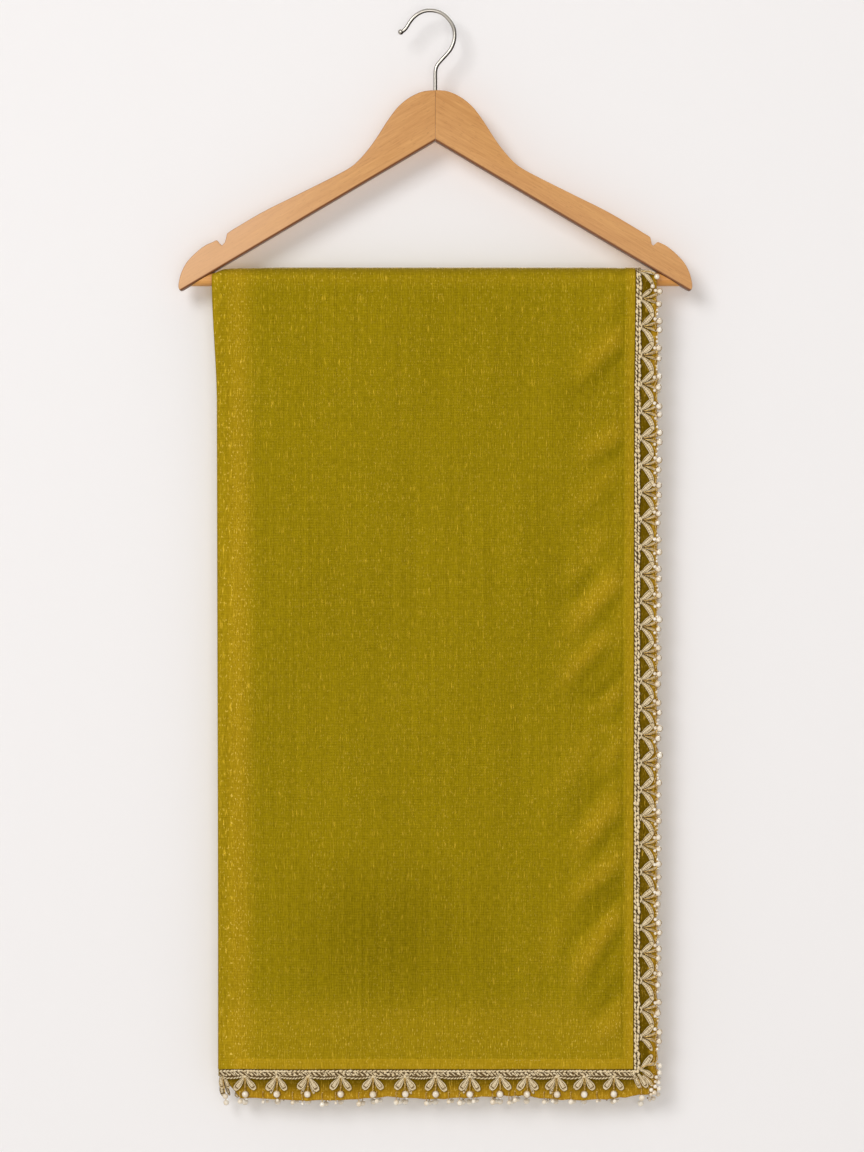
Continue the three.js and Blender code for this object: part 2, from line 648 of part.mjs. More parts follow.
function footLace(side, hemDrop, half) {
  const place = (across, along, height) => {
    const run = side * (runAt(hemDrop) + SEAM_GAP + across);
    return hangPoint(along, run, outerIn(along, run) + height);
  };
  const from = (start) => ([across, along]) => [across, start + along, across > PEARL_FROM ? BEAD_RAISE : 0];
  const left = leftEdge(runAt(hemDrop)) + 1;
  const right = rightHem(runAt(hemDrop)) + SEAM_GAP + SIDE_BRAID;
  const bounds = [left + 11];
  FOOT_MIDDLES.forEach((middle, i) => {
    bounds.push(i + 1 < FOOT_MIDDLES.length ? (middle + FOOT_MIDDLES[i + 1]) / 2 : FOOT_LAST_END);
  });
  const cells = [[[0, left], ...FOLD_MOTIF.map(from(left)), [FOOT_BRAID, bounds[0]], [0, bounds[0]]]];
  FOOT_MIDDLES.forEach((middle, i) => {
    const [start, end] = [bounds[i], bounds[i + 1]];
    const after = footHalf(half, middle, end);
    const before = footHalf(half, middle, start).reverse();
    cells.push([[0, start], [0, end], [FOOT_BRAID, end], ...after, ...before, [FOOT_BRAID, start]]);
  });
  cells.push([[0, FOOT_LAST_END], [0, right], ...CORNER_FAN.map(from(right)), [FOOT_BRAID, FOOT_LAST_END]]);
  return laceGeometry(cells, place);
}

const saree = new THREE.Group();
saree.name = 'saree_on_hanger';

const steel = () => paint(COLOURS.steel, 0.9, 0.25);
const wood = () => paint(COLOURS.wood, 0, 0.5);
const lace = () => paint(COLOURS.lace);

saree.add(
  named('hook', hookGeometry(), steel()),
  named('arm_left', armGeometry(-1), wood()),
  named('arm_right', armGeometry(1), wood()),
  named('trouser_bar', barGeometry(), wood()),
  named('front_stretch', frontStretch(), paint(COLOURS.olive)),
  named('back_stretch', backStretch(), paint(COLOURS.olive)),
  named('under_stretch', underStretch(), paint(COLOURS.mustard)),
  named('hidden_layers', hiddenLayers(), paint(COLOURS.mustard)),
  named('side_lace_front', sideLace(1, FRONT_HEM_DROP, SIDE_HALF), lace()),
  named('side_lace_back', sideLace(-1, BACK_HEM_DROP, SIDE_HALF_PLAIN), lace()),
  named('foot_lace_front', footLace(1, FRONT_HEM_DROP, FOOT_FULL), lace()),
  named('foot_lace_back', footLace(-1, BACK_HEM_DROP, FOOT_PLAIN), lace()),
);

export default saree;
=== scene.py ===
import math
import random

import bpy
import numpy as np
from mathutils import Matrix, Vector


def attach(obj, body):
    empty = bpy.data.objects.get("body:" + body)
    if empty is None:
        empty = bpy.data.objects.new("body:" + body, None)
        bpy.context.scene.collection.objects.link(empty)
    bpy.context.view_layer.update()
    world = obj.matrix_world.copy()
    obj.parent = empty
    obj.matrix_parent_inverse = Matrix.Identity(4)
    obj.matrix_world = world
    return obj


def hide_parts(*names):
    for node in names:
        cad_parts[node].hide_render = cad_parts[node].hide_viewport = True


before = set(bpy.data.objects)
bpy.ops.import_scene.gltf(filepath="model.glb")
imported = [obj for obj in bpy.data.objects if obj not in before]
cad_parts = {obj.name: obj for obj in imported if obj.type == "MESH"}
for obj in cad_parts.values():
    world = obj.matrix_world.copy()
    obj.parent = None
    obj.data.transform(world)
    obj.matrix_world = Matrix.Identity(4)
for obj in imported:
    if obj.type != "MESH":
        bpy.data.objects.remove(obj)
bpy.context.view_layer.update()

MM = 0.001

# Camera, straight at the middle of the hung saree
VIEW_X = 1.13
VIEW_Z = -488.9
VIEW_DISTANCE = 3300
VIEW_HEIGHT = 999.2  # what the picture takes in, from top to bottom
SENSOR = 36

camera = bpy.data.objects.new("camera", bpy.data.cameras.new("camera"))
bpy.context.collection.objects.link(camera)
camera.location = Vector((VIEW_X, -VIEW_DISTANCE, VIEW_Z)) * MM
camera.rotation_euler = (math.radians(90), 0, 0)
camera.data.sensor_width = SENSOR
camera.data.lens = SENSOR * VIEW_DISTANCE / VIEW_HEIGHT
bpy.context.scene.camera = camera
bpy.context.scene.view_settings.view_transform = "Standard"

# Sizes in millimetres, as in the solids. A drop is a distance below the bar's middle.
HANGER_X = 4
BAR_RADIUS = 6
BAR_Z = -231.6
HALF_GAP = 1.2  # from the middle plane to each half of the cloth, once it has closed up
CLOSING_DROP = 225
CROWN_RADIUS = 9.4  # bend of the cloth over the bar
QUARTER_RUN = CROWN_RADIUS * math.pi / 2
ARM_TOP_Z = -68.2
ARM_LOWER_APEX_Z = -111.9
ARM_LOWER_SLOPE = 0.5906
ARM_LOWER_REACH = 218
ARM_DEPTH = 14
ARM_CLEARANCE = 0.8
FRONT_HEM_DROP = 684.3
BACK_HEM_DROP = 691.5
UNDER_FOOT_DROP = 710.1
HEM_DEPTH = 9.5
SIDE_HEM_DEPTH = 9.2
FOLD_REACH = 13  # width of the rolled fold at the left
OUTER_WALL = 1.1
UNDER_WALL = 0.7
INNER_WALL = 0.26
HEM_RAISE = 0.45
ROLL_LENGTH = 1.25  # cloth in a rolled edge, for each unit of its width
STITCH_STEP = 3.3


def ease(t):
    t = np.clip(t, 0, 1)
    return t * t * (3 - 2 * t)


def mix(a, b, t):
    return a + (b - a) * t


def hill(t):
    """A soft hump, 1 at 0 and nothing beyond 1 and -1."""
    return ease(1 - np.abs(t))


# Where the cloth hangs. A run goes along the cloth from the top of the bar, positive in front;
# an offset goes out from the bar, or from the line that each half hangs on.
def hang(x, run, offset):
    x, run, offset = np.broadcast_arrays(*(np.asarray(v, float) for v in (x, run, offset)))
    side = np.where(run < 0, 1.0, -1.0)
    length = np.abs(run)
    angle = np.minimum(length, QUARTER_RUN) / CROWN_RADIUS
    drop = np.maximum(length - QUARTER_RUN, 0)
    hung = mix(BAR_RADIUS, HALF_GAP, ease(drop / CLOSING_DROP)) + offset
    over = length <= QUARTER_RUN
    y = side * np.where(over, (BAR_RADIUS + offset) * np.sin(angle), hung)
    z = np.where(over, BAR_Z + (BAR_RADIUS + offset) * np.cos(angle), BAR_Z - drop)
    return np.stack([x, y, z], -1) * MM


def run_at(drop):
    return QUARTER_RUN + drop


def drop_of(run):
    return np.maximum(np.abs(run) - QUARTER_RUN, 0)


def arm_limit(run, offset):
    """How far from the middle a layer may reach under the sloping arms."""
    top = hang(0, run, offset)[..., 2] / MM
    return (ARM_LOWER_APEX_Z - ARM_CLEARANCE - top) / ARM_LOWER_SLOPE


def edge_at(at_bar, at_mid, at_foot, run):
    """An upright edge's x, from its x at the bar, 110 mm below it and at the foot."""
    drop = drop_of(run)
    return mix(mix(at_bar, at_mid, ease(drop / 110)), at_foot, ease((drop - 110) / 500))


def left_edge(run):
    return np.maximum(edge_at(-189.5, -185.2, -184.3, run), HANGER_X - arm_limit(run, 4))


def right_hem(run):
    return edge_at(177.3, 176.2, 175.5, run)


def under_right(run):
    return np.minimum(196.3, HANGER_X + arm_limit(run, 3))


def middle_thick(x, run):
    """Thickness of the folded middle, thinner towards the left fold and uneven lower down."""
    drop = drop_of(run)
    full = 1 + 2.2 * ease(drop / 230)
    inward = ease((x - left_edge(run) - FOLD_REACH) / 42)
    side = np.where(run < 0, 1.7, 0.0)
    wave = 0.4 * np.sin(x / 58 + 0.8 + side) * np.sin(drop / 118 + side)
    wave = wave + 0.25 * np.sin(x / 83 - drop / 90 + side)
    return full * mix(0.36, 1, inward) + wave * ease(drop / 160) * inward


# Offsets of what lies on the folded middle: the under cloth, the lace and the outer cloth
def under_out(x, run):
    return middle_thick(x, run) + 1.6


def lace_base(x, run):
    return under_out(np.minimum(x, 188), run) + 0.3


def outer_out(x, run):
    return under_out(x, run) + 1.3


# Making of meshes
def let_go():
    """Leaves edit mode and selects nothing."""
    if bpy.context.object and bpy.context.object.mode != "OBJECT":
        bpy.ops.object.mode_set(mode="OBJECT")
    bpy.ops.object.select_all(action="DESELECT")


def hold(piece):
    let_go()
    piece.select_set(True)
    bpy.context.view_layer.objects.active = piece


def finish_with(piece, kind, **settings):
    """Puts a modifier on the piece and applies it."""
    hold(piece)
    modifier = piece.modifiers.new(kind.lower(), kind)
    for name, value in settings.items():
        setattr(modifier, name, value)
    bpy.ops.object.modifier_apply(modifier=modifier.name)


def join(pieces, name):
    hold(pieces[0])
    for piece in pieces:
        piece.select_set(True)
    bpy.ops.object.join()
    joined = bpy.context.object
    joined.name = name
    joined.data.name = name
    return joined


def places_of(piece, what="co"):
    flat = np.empty(len(piece.data.vertices) * 3)
    piece.data.vertices.foreach_get(what, flat)
    return flat.reshape(-1, 3)


def move_to(piece, places):
    piece.data.vertices.foreach_set("co", np.ascontiguousarray(places).ravel())
    piece.data.update()


def note(piece, name, values):
    """Keeps a number for each point of the piece, which its material reads."""
    kept = piece.data.attributes.new(name, "FLOAT", "POINT")
    kept.data.foreach_set("value", np.ascontiguousarray(values, float).ravel())


def shade(piece, angle=None):
    hold(piece)
    if angle:
        bpy.ops.object.shade_smooth_by_angle(angle=math.radians(angle))
    else:
        bpy.ops.object.shade_smooth()


def hung_sheet(name, runs, x, offset, flat_x, wall, lean, thin=None, **notes):
    """A sheet laid over the bar: its rows run from the front foot over the bar to the back foot.
    flat_x is a point's place on the flat cloth, wall the thickness and thin its share per point."""
    rows, columns = x.shape
    let_go()
    bpy.ops.mesh.primitive_grid_add(
        x_subdivisions=columns - 1, y_subdivisions=rows - 1, size=1, calc_uvs=False)
    sheet = bpy.context.object
    sheet.name = sheet.data.name = name
    move_to(sheet, hang(x, runs, offset))
    corners = np.empty(len(sheet.data.loops), int)
    sheet.data.loops.foreach_get("vertex_index", corners)
    flat = np.stack(np.broadcast_arrays(flat_x, runs), -1).reshape(-1, 2) * MM
    sheet.data.uv_layers.new(name="cloth").data.foreach_set("uv", flat[corners].ravel())
    for key, values in notes.items():
        note(sheet, key, np.broadcast_to(values, x.shape))
    settings = {}
    if thin is not None:
        share = np.broadcast_to(thin, x.shape).ravel()
        group = sheet.vertex_groups.new(name="thick")
        for level in np.unique(np.round(share, 2)):
            group.add(np.flatnonzero(np.round(share, 2) == level).tolist(), float(level), "REPLACE")
        settings["vertex_group"] = "thick"
    finish_with(sheet, "SOLIDIFY", thickness=wall * MM, offset=lean, **settings)
    shade(sheet)
    return sheet


# Creases near the side hem: x and drop of the upper and the lower end, height, half width
FRONT_CREASES = [
    (163, 12, 146, 28, 0.9, 8), (167, 50, 134, 82, 2.2, 10), (166, 126, 137, 154, 1.6, 9),
    (158, 170, 124, 196, 0.8, 10), (165, 262, 126, 300, 2.4, 11), (169, 278, 158, 316, 1.0, 6),
    (150, 309, 122, 347, 1.9, 9), (173, 340, 154, 370, 1.5, 7), (168, 392, 150, 420, 1.2, 8),
    (166, 452, 134, 490, 2.2, 11), (162, 500, 128, 538, 1.8, 9), (164, 552, 130, 602, 2.3, 10),
    (166, 628, 146, 660, 1.4, 8), (152, 224, 120, 256, 0.7, 9), (140, 400, 112, 436, 0.8, 10),
    (120, 560, 92, 596, 0.6, 12),
]
BACK_CREASES = [
    (164, 30, 132, 60, 1.6, 9), (168, 96, 136, 130, 2.0, 10), (166, 176, 132, 216, 1.8, 10),
    (162, 232, 126, 276, 2.3, 11), (168, 318, 140, 350, 1.4, 8), (166, 372, 128, 418, 2.2, 10),
    (160, 446, 122, 484, 1.5, 9), (167, 520, 134, 566, 2.4, 11), (164, 596, 142, 634, 1.3, 8),
    (110, 300, 80, 344, 0.8, 12),
]
# Hollows, in the same columns; each crease also has one beside it, moved right and down by the shift
FRONT_HOLLOWS = [
    (143, 257, 117, 275, 1.0, 8), (166, 338, 140, 360, 1.2, 7), (168, 520, 132, 562, 1.2, 8),
    (164, 606, 140, 634, 1.0, 7), (166, 300, 150, 320, 0.6, 6), (150, 60, 122, 96, 0.8, 9),
    (146, 440, 118, 470, 0.8, 9),
]
BACK_HOLLOWS = [
    (160, 66, 136, 92, 1.0, 8), (164, 250, 136, 292, 1.1, 8), (160, 486, 130, 520, 1.0, 8),
]
HOLLOW_SHIFT = (6, 11)


def crease(x, drop, line):
    """One soft ridge, steeper on one flank, that fades towards the middle of the cloth."""
    x0, d0, x1, d1, height, width = line
    dx, dd = x1 - x0, d1 - d0
    length = math.hypot(dx, dd)
    along = ((x - x0) * dx + (drop - d0) * dd) / length ** 2
    across = ((x - x0) * dd - (drop - d0) * dx) / length
    across = across + 3.2 * np.sin(along * 2.4 + height * 3)
    across = np.where(across > 0, across / (0.68 * width), across / (1.15 * width))
    body = ease((along + 0.32) / 0.5) * ease((1.55 - along) / 0.95)
    return height * body * np.exp(-across ** 2)


def cloth_lift(x, drop, creases, hollows, foot, hem_x):
    """How far the outer cloth stands off its bed, and its ridges and hollows there."""
    ridge = sum(crease(x, drop, line) for line in creases)
    right, down = HOLLOW_SHIFT
    hollow = sum(crease(x, drop, line) for line in hollows)
    hollow = hollow + 0.5 * sum(
        crease(x, drop, (x0 + right, d0 + down, x1 + right, d1 + down, height, 0.8 * width))
        for x0, d0, x1, d1, height, width in creases)
    held = ease((hem_x - 4 - x) / 12) * ease((foot - HEM_DEPTH - 2 - drop) / 26) * ease((drop + 4) / 30)
    sway = 0.42 * np.sin(x / 21 + 0.6 * np.sin(drop / 90)) + 0.3 * np.sin(x / 13.3 - drop / 240 + 1.3)
    sway = sway * ease((x + 168) / 40) * ease((drop - 20) / 180)
    gathers = 0.3 * np.sin(x / 1.75 + 2 * np.sin(x / 31)) * hill((x + 44) / 60)
    gathers = gathers + 0.16 * np.sin(x / 2.6 + 1) * ease((x + 150) / 60)
    gathers = gathers * hill((drop - foot + 24) / 46)
    pucker = 0.12 * np.sin(drop / 1.9 + 1.5 * np.sin(drop / 17)) * hill((hem_x - 15 - x) / 11)
    creased = (0.98 * ridge - 0.22 * hollow) * held
    lift = creased + 0.6 * (sway + 0.72) * ease((hem_x - x) / 30) + gathers + pucker
    return np.maximum(lift, -0.2), ridge * held, hollow * held


def rows_over(front, steps, back):
    """Runs of a sheet's rows: the drops in front, steps up and down the bend, the drops behind."""
    crown = QUARTER_RUN / steps * np.arange(steps, -steps - 1, -1)
    return np.concatenate([run_at(front), crown, -run_at(back)])[:, None]


# Outer cloth: its rows at the turned hems, as distances from the hem, and the angles of its rolled fold
HEM_ROWS = np.array([0, 0.12, 0.5, 1.3, 4, 7, 8.7, 9.5, 10.1, 11.5])
FOLD_ANGLES = np.radians([14, 34, 54, 72, 90, 106, 120, 132, 143, 153, 162, 171, 180])


def outer_cloth():
    """The wrap that shows: a rolled fold at the left, turned hems at the right and at both feet."""
    front = np.concatenate([FRONT_HEM_DROP - HEM_ROWS, np.linspace(FRONT_HEM_DROP - 14, 2.5, 236)])
    back = np.concatenate([np.linspace(3, BACK_HEM_DROP - 15, 132), BACK_HEM_DROP - HEM_ROWS[::-1]])
    run = rows_over(front, 9, back)
    drop = drop_of(run)
    foot_drop = np.where(run < 0, BACK_HEM_DROP, FRONT_HEM_DROP)
    hem = right_hem(run)
    edge = left_edge(run)
    fold_end = edge + FOLD_REACH
    from_hem = np.array([13.5, 11.5, 10.2, 9.6, 9.2, 8.7, 8.3, 6.5, 4, 1.6, 0.6, 0.15, 0])
    share = np.linspace(0, 1, 98)[1:-1]
    flat_x = np.concatenate([
        fold_end + (hem - 16 - fold_end) * share,
        hem - from_hem + 0 * run,
    ], 1)
    behind = run < 0
    lift, ridge, hollow = (np.where(behind, back, front) for front, back in zip(
        cloth_lift(flat_x, drop, FRONT_CREASES, FRONT_HOLLOWS, FRONT_HEM_DROP, hem),
        cloth_lift(flat_x, drop, BACK_CREASES, BACK_HOLLOWS, BACK_HEM_DROP, hem)))
    at_side = ease((SIDE_HEM_DEPTH - (hem - flat_x)) / 0.9)
    at_foot = ease((HEM_DEPTH - (foot_drop - drop)) / 0.9) + 0 * flat_x
    hemmed = np.maximum(at_side, at_foot)
    rim = 0.5 * (1 - np.sqrt(np.clip((hem - flat_x) / 1.0, 0, 1)))
    rim = rim + 0.5 * (1 - np.sqrt(np.clip((foot_drop - drop) / 1.0, 0, 1)))
    flat_offset = outer_out(flat_x, run) + lift + HEM_RAISE * hemmed - rim
    top = outer_out(fold_end, run) + 0.3
    middle, half = (top + 0.7) / 2, (top - 0.7) / 2
    roll_x = edge + FOLD_REACH * (1 - np.sin(FOLD_ANGLES)) + 0 * run
    roll_offset = middle - half * np.cos(FOLD_ANGLES)
    flat_offset = flat_offset + 0.3 * ease(1 - (flat_x - fold_end) / 10)
    x = np.concatenate([roll_x, flat_x], 1)
    offset = np.concatenate([roll_offset, flat_offset], 1)
    rolled = -FOLD_REACH * ROLL_LENGTH * (1 - FOLD_ANGLES / math.pi) + fold_end
    pad = np.zeros_like(roll_x)

    def whole(part, before=pad):
        return np.concatenate([before, part + 0 * flat_x], 1)

    # Painted light and shade of the outer cloth, kept for its finish: a painted highlight on each crease and
    # painted shade in its hollow
    bright = np.clip(0.36 * ridge - 0.2 * hollow, -0.5, 1.0)
    # Painted highlight along the rolled fold at the left
    band = 1.05 * hill((x + 168) / 20) + 0.7 * hill((x + 187) / 10)
    # Painted light, also lighter towards the foot, on the right and over the top of the bend
    glow = whole(bright) + band * (0.78 + 0.22 * ease((drop - 40) / 200) - 0.32 * ease((drop - 560) / 90))
    glow = glow + 0.46 * ease((drop - 610) / 40) * np.where(behind, 0.6, 1) + 0.12 * ease((x - 100) / 70)
    glow = glow + 0.3 * ease(1 - drop / 10)
    # Painted shade: a dark patch low in the middle of the front
    dusk = 0.42 * hill((x + 42) / 130) * hill((drop - 565) / 90) * np.where(behind, 0.3, 1)
    # Painted shade along the step at the hem's inner edge
    hem_step_shade = hill((hem - flat_x - 10) / 1.2) * (0.6 + 0.4 * np.sin(drop / 23 + np.sin(drop / 61)))
    # Painted shade in the hollows beside the creases, and along the hem's step
    dusk = dusk + whole(np.clip(0.36 * hollow - 0.3 * ridge, 0, 0.7) + 0.34 * hem_step_shade)
    towards_edge = np.maximum(at_side * ease(1 - (hem - flat_x) / 13), 0.75 * at_foot)
    return hung_sheet(
        "saree_outer_cloth", run, x, offset, np.concatenate([rolled + 0 * run, flat_x], 1),
        wall=OUTER_WALL, lean=-1, thin=whole(mix(0.6, 1, hemmed), pad + 0.6),
        glow=np.clip(glow, 0, 1.4), dusk=dusk, hem=whole(towards_edge))


# Under cloth: it shows as a margin beside and below the outer one. Its foot's wave is x and rise.
FOOT_WAVE_X = [-178, -150, -112, -74, -36, 0, 40, 78, 104, 134, 162, 180, 197]
FOOT_WAVE_RISE = [0, 0.6, -1.6, -0.9, 1.8, -0.4, 1.4, 3.0, -0.3, -1.2, 0.6, 3.2, 5.4]


def foot_wave(x):
    fine = 0.35 * np.sin(x / 3.1 + np.sin(x / 9)) + 0.2 * np.sin(x / 1.45 + 2)
    return np.interp(x, FOOT_WAVE_X, FOOT_WAVE_RISE) + fine


def under_cloth():
    foot = UNDER_FOOT_DROP - np.array([0, 0.15, 0.6, 1.6, 3.2, 5, 7, 9, 12, 16, 20])
    drops = np.concatenate([foot, np.linspace(UNDER_FOOT_DROP - 24, 3, 150)])
    run = rows_over(drops, 7, drops[::-1])
    drop = drop_of(run)
    side = np.sign(run)
    corner = 15 * np.clip((drop - 693) / (UNDER_FOOT_DROP - 693), 0, 1)
    left = left_edge(run) + FOLD_REACH - 3.4 - 4.6 * ease((drop - 660) / 22) + corner
    right = under_right(run)
    ripple = 0.55 * np.sin(drop / 3.3 + np.sin(drop / 19)) * ease((drop - 8) / 10)
    right = right - 0.6 + ripple
    roll = 8
    share = np.concatenate([[0, 0.004], np.linspace(0.02, 0.93, 52), np.linspace(0.935, 1, 14)])
    flat_x = left + (right - roll - left) * share
    angles = np.radians([180, 168, 155, 140, 124, 108, 90, 72, 54, 34, 14])[1:]
    near_foot = ease((drop - 640) / (UNDER_FOOT_DROP - 640))
    top = under_out(right - roll, run)
    middle, half = (top + 0.8) / 2, (top - 0.8) / 2
    roll_x = right - roll * (1 - np.sin(angles))
    margin = 0.22 * np.sin(drop / 4.6 + flat_x / 7) * ease((flat_x - 176) / 8)
    flutter = 0.35 * np.sin(flat_x / 3.7 + np.sin(flat_x / 15)) * ease((drop - 690) / 14)
    flat_offset = under_out(flat_x, run) + margin + flutter
    x = np.concatenate([flat_x, roll_x], 1)
    offset = np.concatenate([flat_offset, middle - half * np.cos(angles)], 1)
    rim = 0.4 * (1 - np.sqrt(np.clip((UNDER_FOOT_DROP - drop) / 1.2, 0, 1)))
    placed = run - side * foot_wave(x) * near_foot
    beyond_side = ease((x - right_hem(run) - 12) / 5)
    foot_drop = np.where(run < 0, BACK_HEM_DROP, FRONT_HEM_DROP)
    beyond_foot = ease((drop - foot_drop - 9) / 16) + 0 * x
    rolled = right - roll + roll * ROLL_LENGTH * (1 - angles / math.pi)
    # Painted light on the margin that reaches out beyond the outer cloth's side and foot; behind the lace the
    # cloth stays dark, as painted shade
    return hung_sheet(
        "saree_under_cloth", placed, x, offset - rim, np.concatenate([flat_x, rolled], 1),
        wall=UNDER_WALL, lean=-1, glow=np.maximum(beyond_side, beyond_foot), dusk=0 * x,
        hem=0 * x)


def inner_folds():
    """The folded-up middle: the cloth goes to and fro three times across each half."""
    drops = np.concatenate([[689, 688.4, 687, 684, 680, 674, 664], np.linspace(650, 4, 56)])
    run = rows_over(drops, 6, drops[::-1])
    left = left_edge(run) + FOLD_REACH + 0.5
    right = under_right(run) - 10.5
    bend = 3
    turn = np.radians(np.arange(15, 180, 30))
    across = np.concatenate([[0, 0.01], np.linspace(0.06, 0.94, 16), [0.99, 1]])
    share, depth, reach = [], [], []
    for layer, level in enumerate((0.16, 0.5, 0.84)):
        way = across if layer % 2 else across[::-1]
        share += list(way)
        depth += [level] * len(way)
        reach += [0] * len(way)
        if level < 0.8:
            share += [way[-1]] * len(turn)
            depth += list(level + 0.17 * (1 - np.cos(turn)))
            reach += list(bend * np.sin(turn) * (1 if layer % 2 else -1))
    x = left + (right - left) * np.array(share) + np.array(reach)
    offset = 0.3 + middle_thick(x, run) * np.array(depth)
    steps = np.hypot(np.diff(x[20]), 3 * np.diff(offset[20]))
    flat_x = np.concatenate([[0], np.cumsum(steps)])
    placed = run - np.sign(run) * 2.2 * np.sin(np.array(depth) * 9 + x / 60) * ease((drop_of(run) - 600) / 90)
    # A middling level of painted light, so the folds seen between the layers stay darker: painted shade
    return hung_sheet(
        "saree_inner_folds", placed, x, offset, flat_x, wall=INNER_WALL, lean=0,
        glow=0.45 + 0 * x, dusk=0 * x, hem=0 * x)


# What repeats is modelled once and copied
def copy_of(pattern, shape):
    piece = pattern.copy()
    piece.data = pattern.data.copy()
    bpy.context.collection.objects.link(piece)
    move_to(piece, shape(places_of(pattern)))
    return piece


def bead_pattern():
    let_go()
    bpy.ops.mesh.primitive_ico_sphere_add(subdivisions=2, radius=1)
    return bpy.context.object


def grain_pattern():
    let_go()
    bpy.ops.mesh.primitive_uv_sphere_add(segments=8, ring_count=5, radius=1)
    return bpy.context.object


def stitch_pattern():
    """A short stitch: a round bar drawn in at both ends, along X."""
    let_go()
    bpy.ops.mesh.primitive_cylinder_add(vertices=6, radius=0.5, depth=2, rotation=(0, math.pi / 2, 0))
    stitch = bpy.context.object
    bpy.ops.object.transform_apply()
    finish_with(stitch, "BEVEL", width=0.26, segments=1, limit_method="ANGLE", angle_limit=math.radians(50))
    return stitch


LEAF_ACROSS = np.array([-1, -0.84, -0.68, -0.54, -0.34, 0, 0.34, 0.54, 0.68, 0.84, 1])
LEAF_ALONG = np.array([0, 0.1, 0.26, 0.44, 0.6, 0.74, 0.85, 0.93, 0.98, 1])


def leaf_pattern():
    """A satin-stitch leaf with a cord round it: X runs from root to tip, Y across, Z is its height."""
    let_go()
    bpy.ops.mesh.primitive_grid_add(
        x_subdivisions=len(LEAF_ALONG) - 1, y_subdivisions=len(LEAF_ACROSS) - 1, size=1)
    leaf = bpy.context.object
    along, across = np.meshgrid(LEAF_ALONG, LEAF_ACROSS)
    inside = np.minimum(1 - np.abs(across), np.minimum((1 - along) * 3, along * 5 + 0.16))
    cord = np.sqrt(np.clip(1 - ((inside - 0.18) / 0.2) ** 2, 0, 1))
    satin = ease((inside - 0.42) / 0.4)
    height = 0.3 + 0.85 * cord + 0.62 * satin
    # tone: darker at the rim, partly a brown edge and partly painted shade, and painted shade in the groove
    # between the cord and the satin
    tone = ease(inside / 0.15) * (1 - 0.85 * np.exp(-((inside - 0.46) / 0.12) ** 2)) * (1 - 0.22 * satin)
    move_to(leaf, np.stack([along, across, height], -1).reshape(-1, 3))
    note(leaf, "tone", tone)
    note(leaf, "satin", satin)
    note(leaf, "along", along)
    return leaf


def leaf_width(t, taper):
    """Half width along the leaf, 1 at its widest: taper moves the widest place towards the tip."""
    swell = mix(0.3, 1, ease(t / taper))
    end = np.sqrt(np.clip(1 - (np.clip(t - taper, 0, 1) / (1.02 - taper)) ** 2, 0, 1))
    return swell * mix(1, end, ease((t - taper) / 0.05))


def leaf_on(bed, points, half_width, taper=0.62, thick=1.0, height=0.0):
    """A copy of the leaf along a bent line from points[0] past points[1] to points[2]."""
    start, pull, end = (np.array(p, float) for p in points)

    def shape(local):
        t = local[:, 0:1]
        centre = (1 - t) ** 2 * start + 2 * t * (1 - t) * pull + t ** 2 * end
        way = 2 * (1 - t) * (pull - start) + 2 * t * (end - pull)
        way = way / np.linalg.norm(way, axis=1, keepdims=True)
        square = np.stack([-way[:, 1], way[:, 0]], 1) * (1 if bed.behind else -1)
        width = half_width * leaf_width(t, taper)
        spot = centre + square * local[:, 1:2] * width
        return bed(spot[:, 0], spot[:, 1], height + local[:, 2] * thick)

    return copy_of(PATTERNS["leaf"], shape)


def bead_on(bed, x, drop, height, radius, pattern="bead", drawn=(1, 1, 1)):
    """A copy of the bead or the grain on its bed, drawn out along the three axes."""
    centre = bed(x, drop, height)
    return copy_of(PATTERNS[pattern], lambda local: centre + local * drawn * radius * MM)


def cup_on(bed, x, drop, height, radius):
    """The gold cup that a pearl sits in."""
    return bead_on(bed, x, drop, height - 0.45 * radius, 1.2 * radius, "grain", (1, 0.5, 1))


def knots_on(bed, line, gap, radius, drawn, chance):
    """Knots along a cord's line of x, drop and height, a little uneven."""
    lengths = np.concatenate([[0], np.cumsum(np.linalg.norm(np.diff(line, axis=0), axis=1))])
    made, place = [], 0.6 * gap
    while place < lengths[-1]:
        x, drop, height = (np.interp(place, lengths, line[:, k]) for k in range(3))
        x, drop = x + chance.uniform(-0.5, 0.5), drop + chance.uniform(-0.4, 0.4)
        made.append(bead_on(bed, x, drop, height, radius * chance.uniform(0.7, 1.2), "grain", drawn))
        place += gap * chance.uniform(0.8, 1.25)
    return made


def stitch_on(bed, x, drop, along_x, length, wide):
    """One stitch lying on its bed, along the hem (along_x) or down it."""
    reach = 0.5
    step = (reach, 0) if along_x else (0, reach)
    centre = Vector(bed(x, drop, 0))
    way = (Vector(bed(x + step[0], drop + step[1], 0)) - centre).normalized()
    out = (Vector(bed(x, drop, 1)) - centre).normalized()
    beside = out.cross(way)
    frame_axes = np.array([way * length / 2, beside * wide, out * wide * 0.8]) * MM
    return copy_of(PATTERNS["stitch"], lambda local: np.array(centre) + local @ frame_axes)


def bed_on(behind, base, rise=0.0):
    """Gives the place of an x, a drop and a height over a layer, in front or behind, and its side."""
    side = -1 if behind else 1

    def bed(x, drop, height):
        run = side * run_at(np.asarray(drop, float))
        return hang(x, run, base(np.asarray(x, float), run) + rise + height)

    bed.behind = behind
    return bed


def cords(name, strands, roundness=1):
    """Threads and cords in one mesh: strands are (points, radius in millimetres)."""
    line = bpy.data.curves.new(name, "CURVE")
    line.dimensions = "3D"
    line.bevel_depth = MM
    line.bevel_resolution = roundness
    line.use_fill_caps = True
    for points, radius in strands:
        spline = line.splines.new("POLY")
        spline.points.add(len(points) - 1)
        spline.points.foreach_set("co", np.concatenate([points, np.ones((len(points), 1))], 1).ravel())
        spline.points.foreach_set("radius", np.broadcast_to(np.asarray(radius, float), len(points)))
    piece = bpy.data.objects.new(name, line)
    bpy.context.collection.objects.link(piece)
    hold(piece)
    bpy.ops.object.convert(target="MESH")
    return bpy.context.object


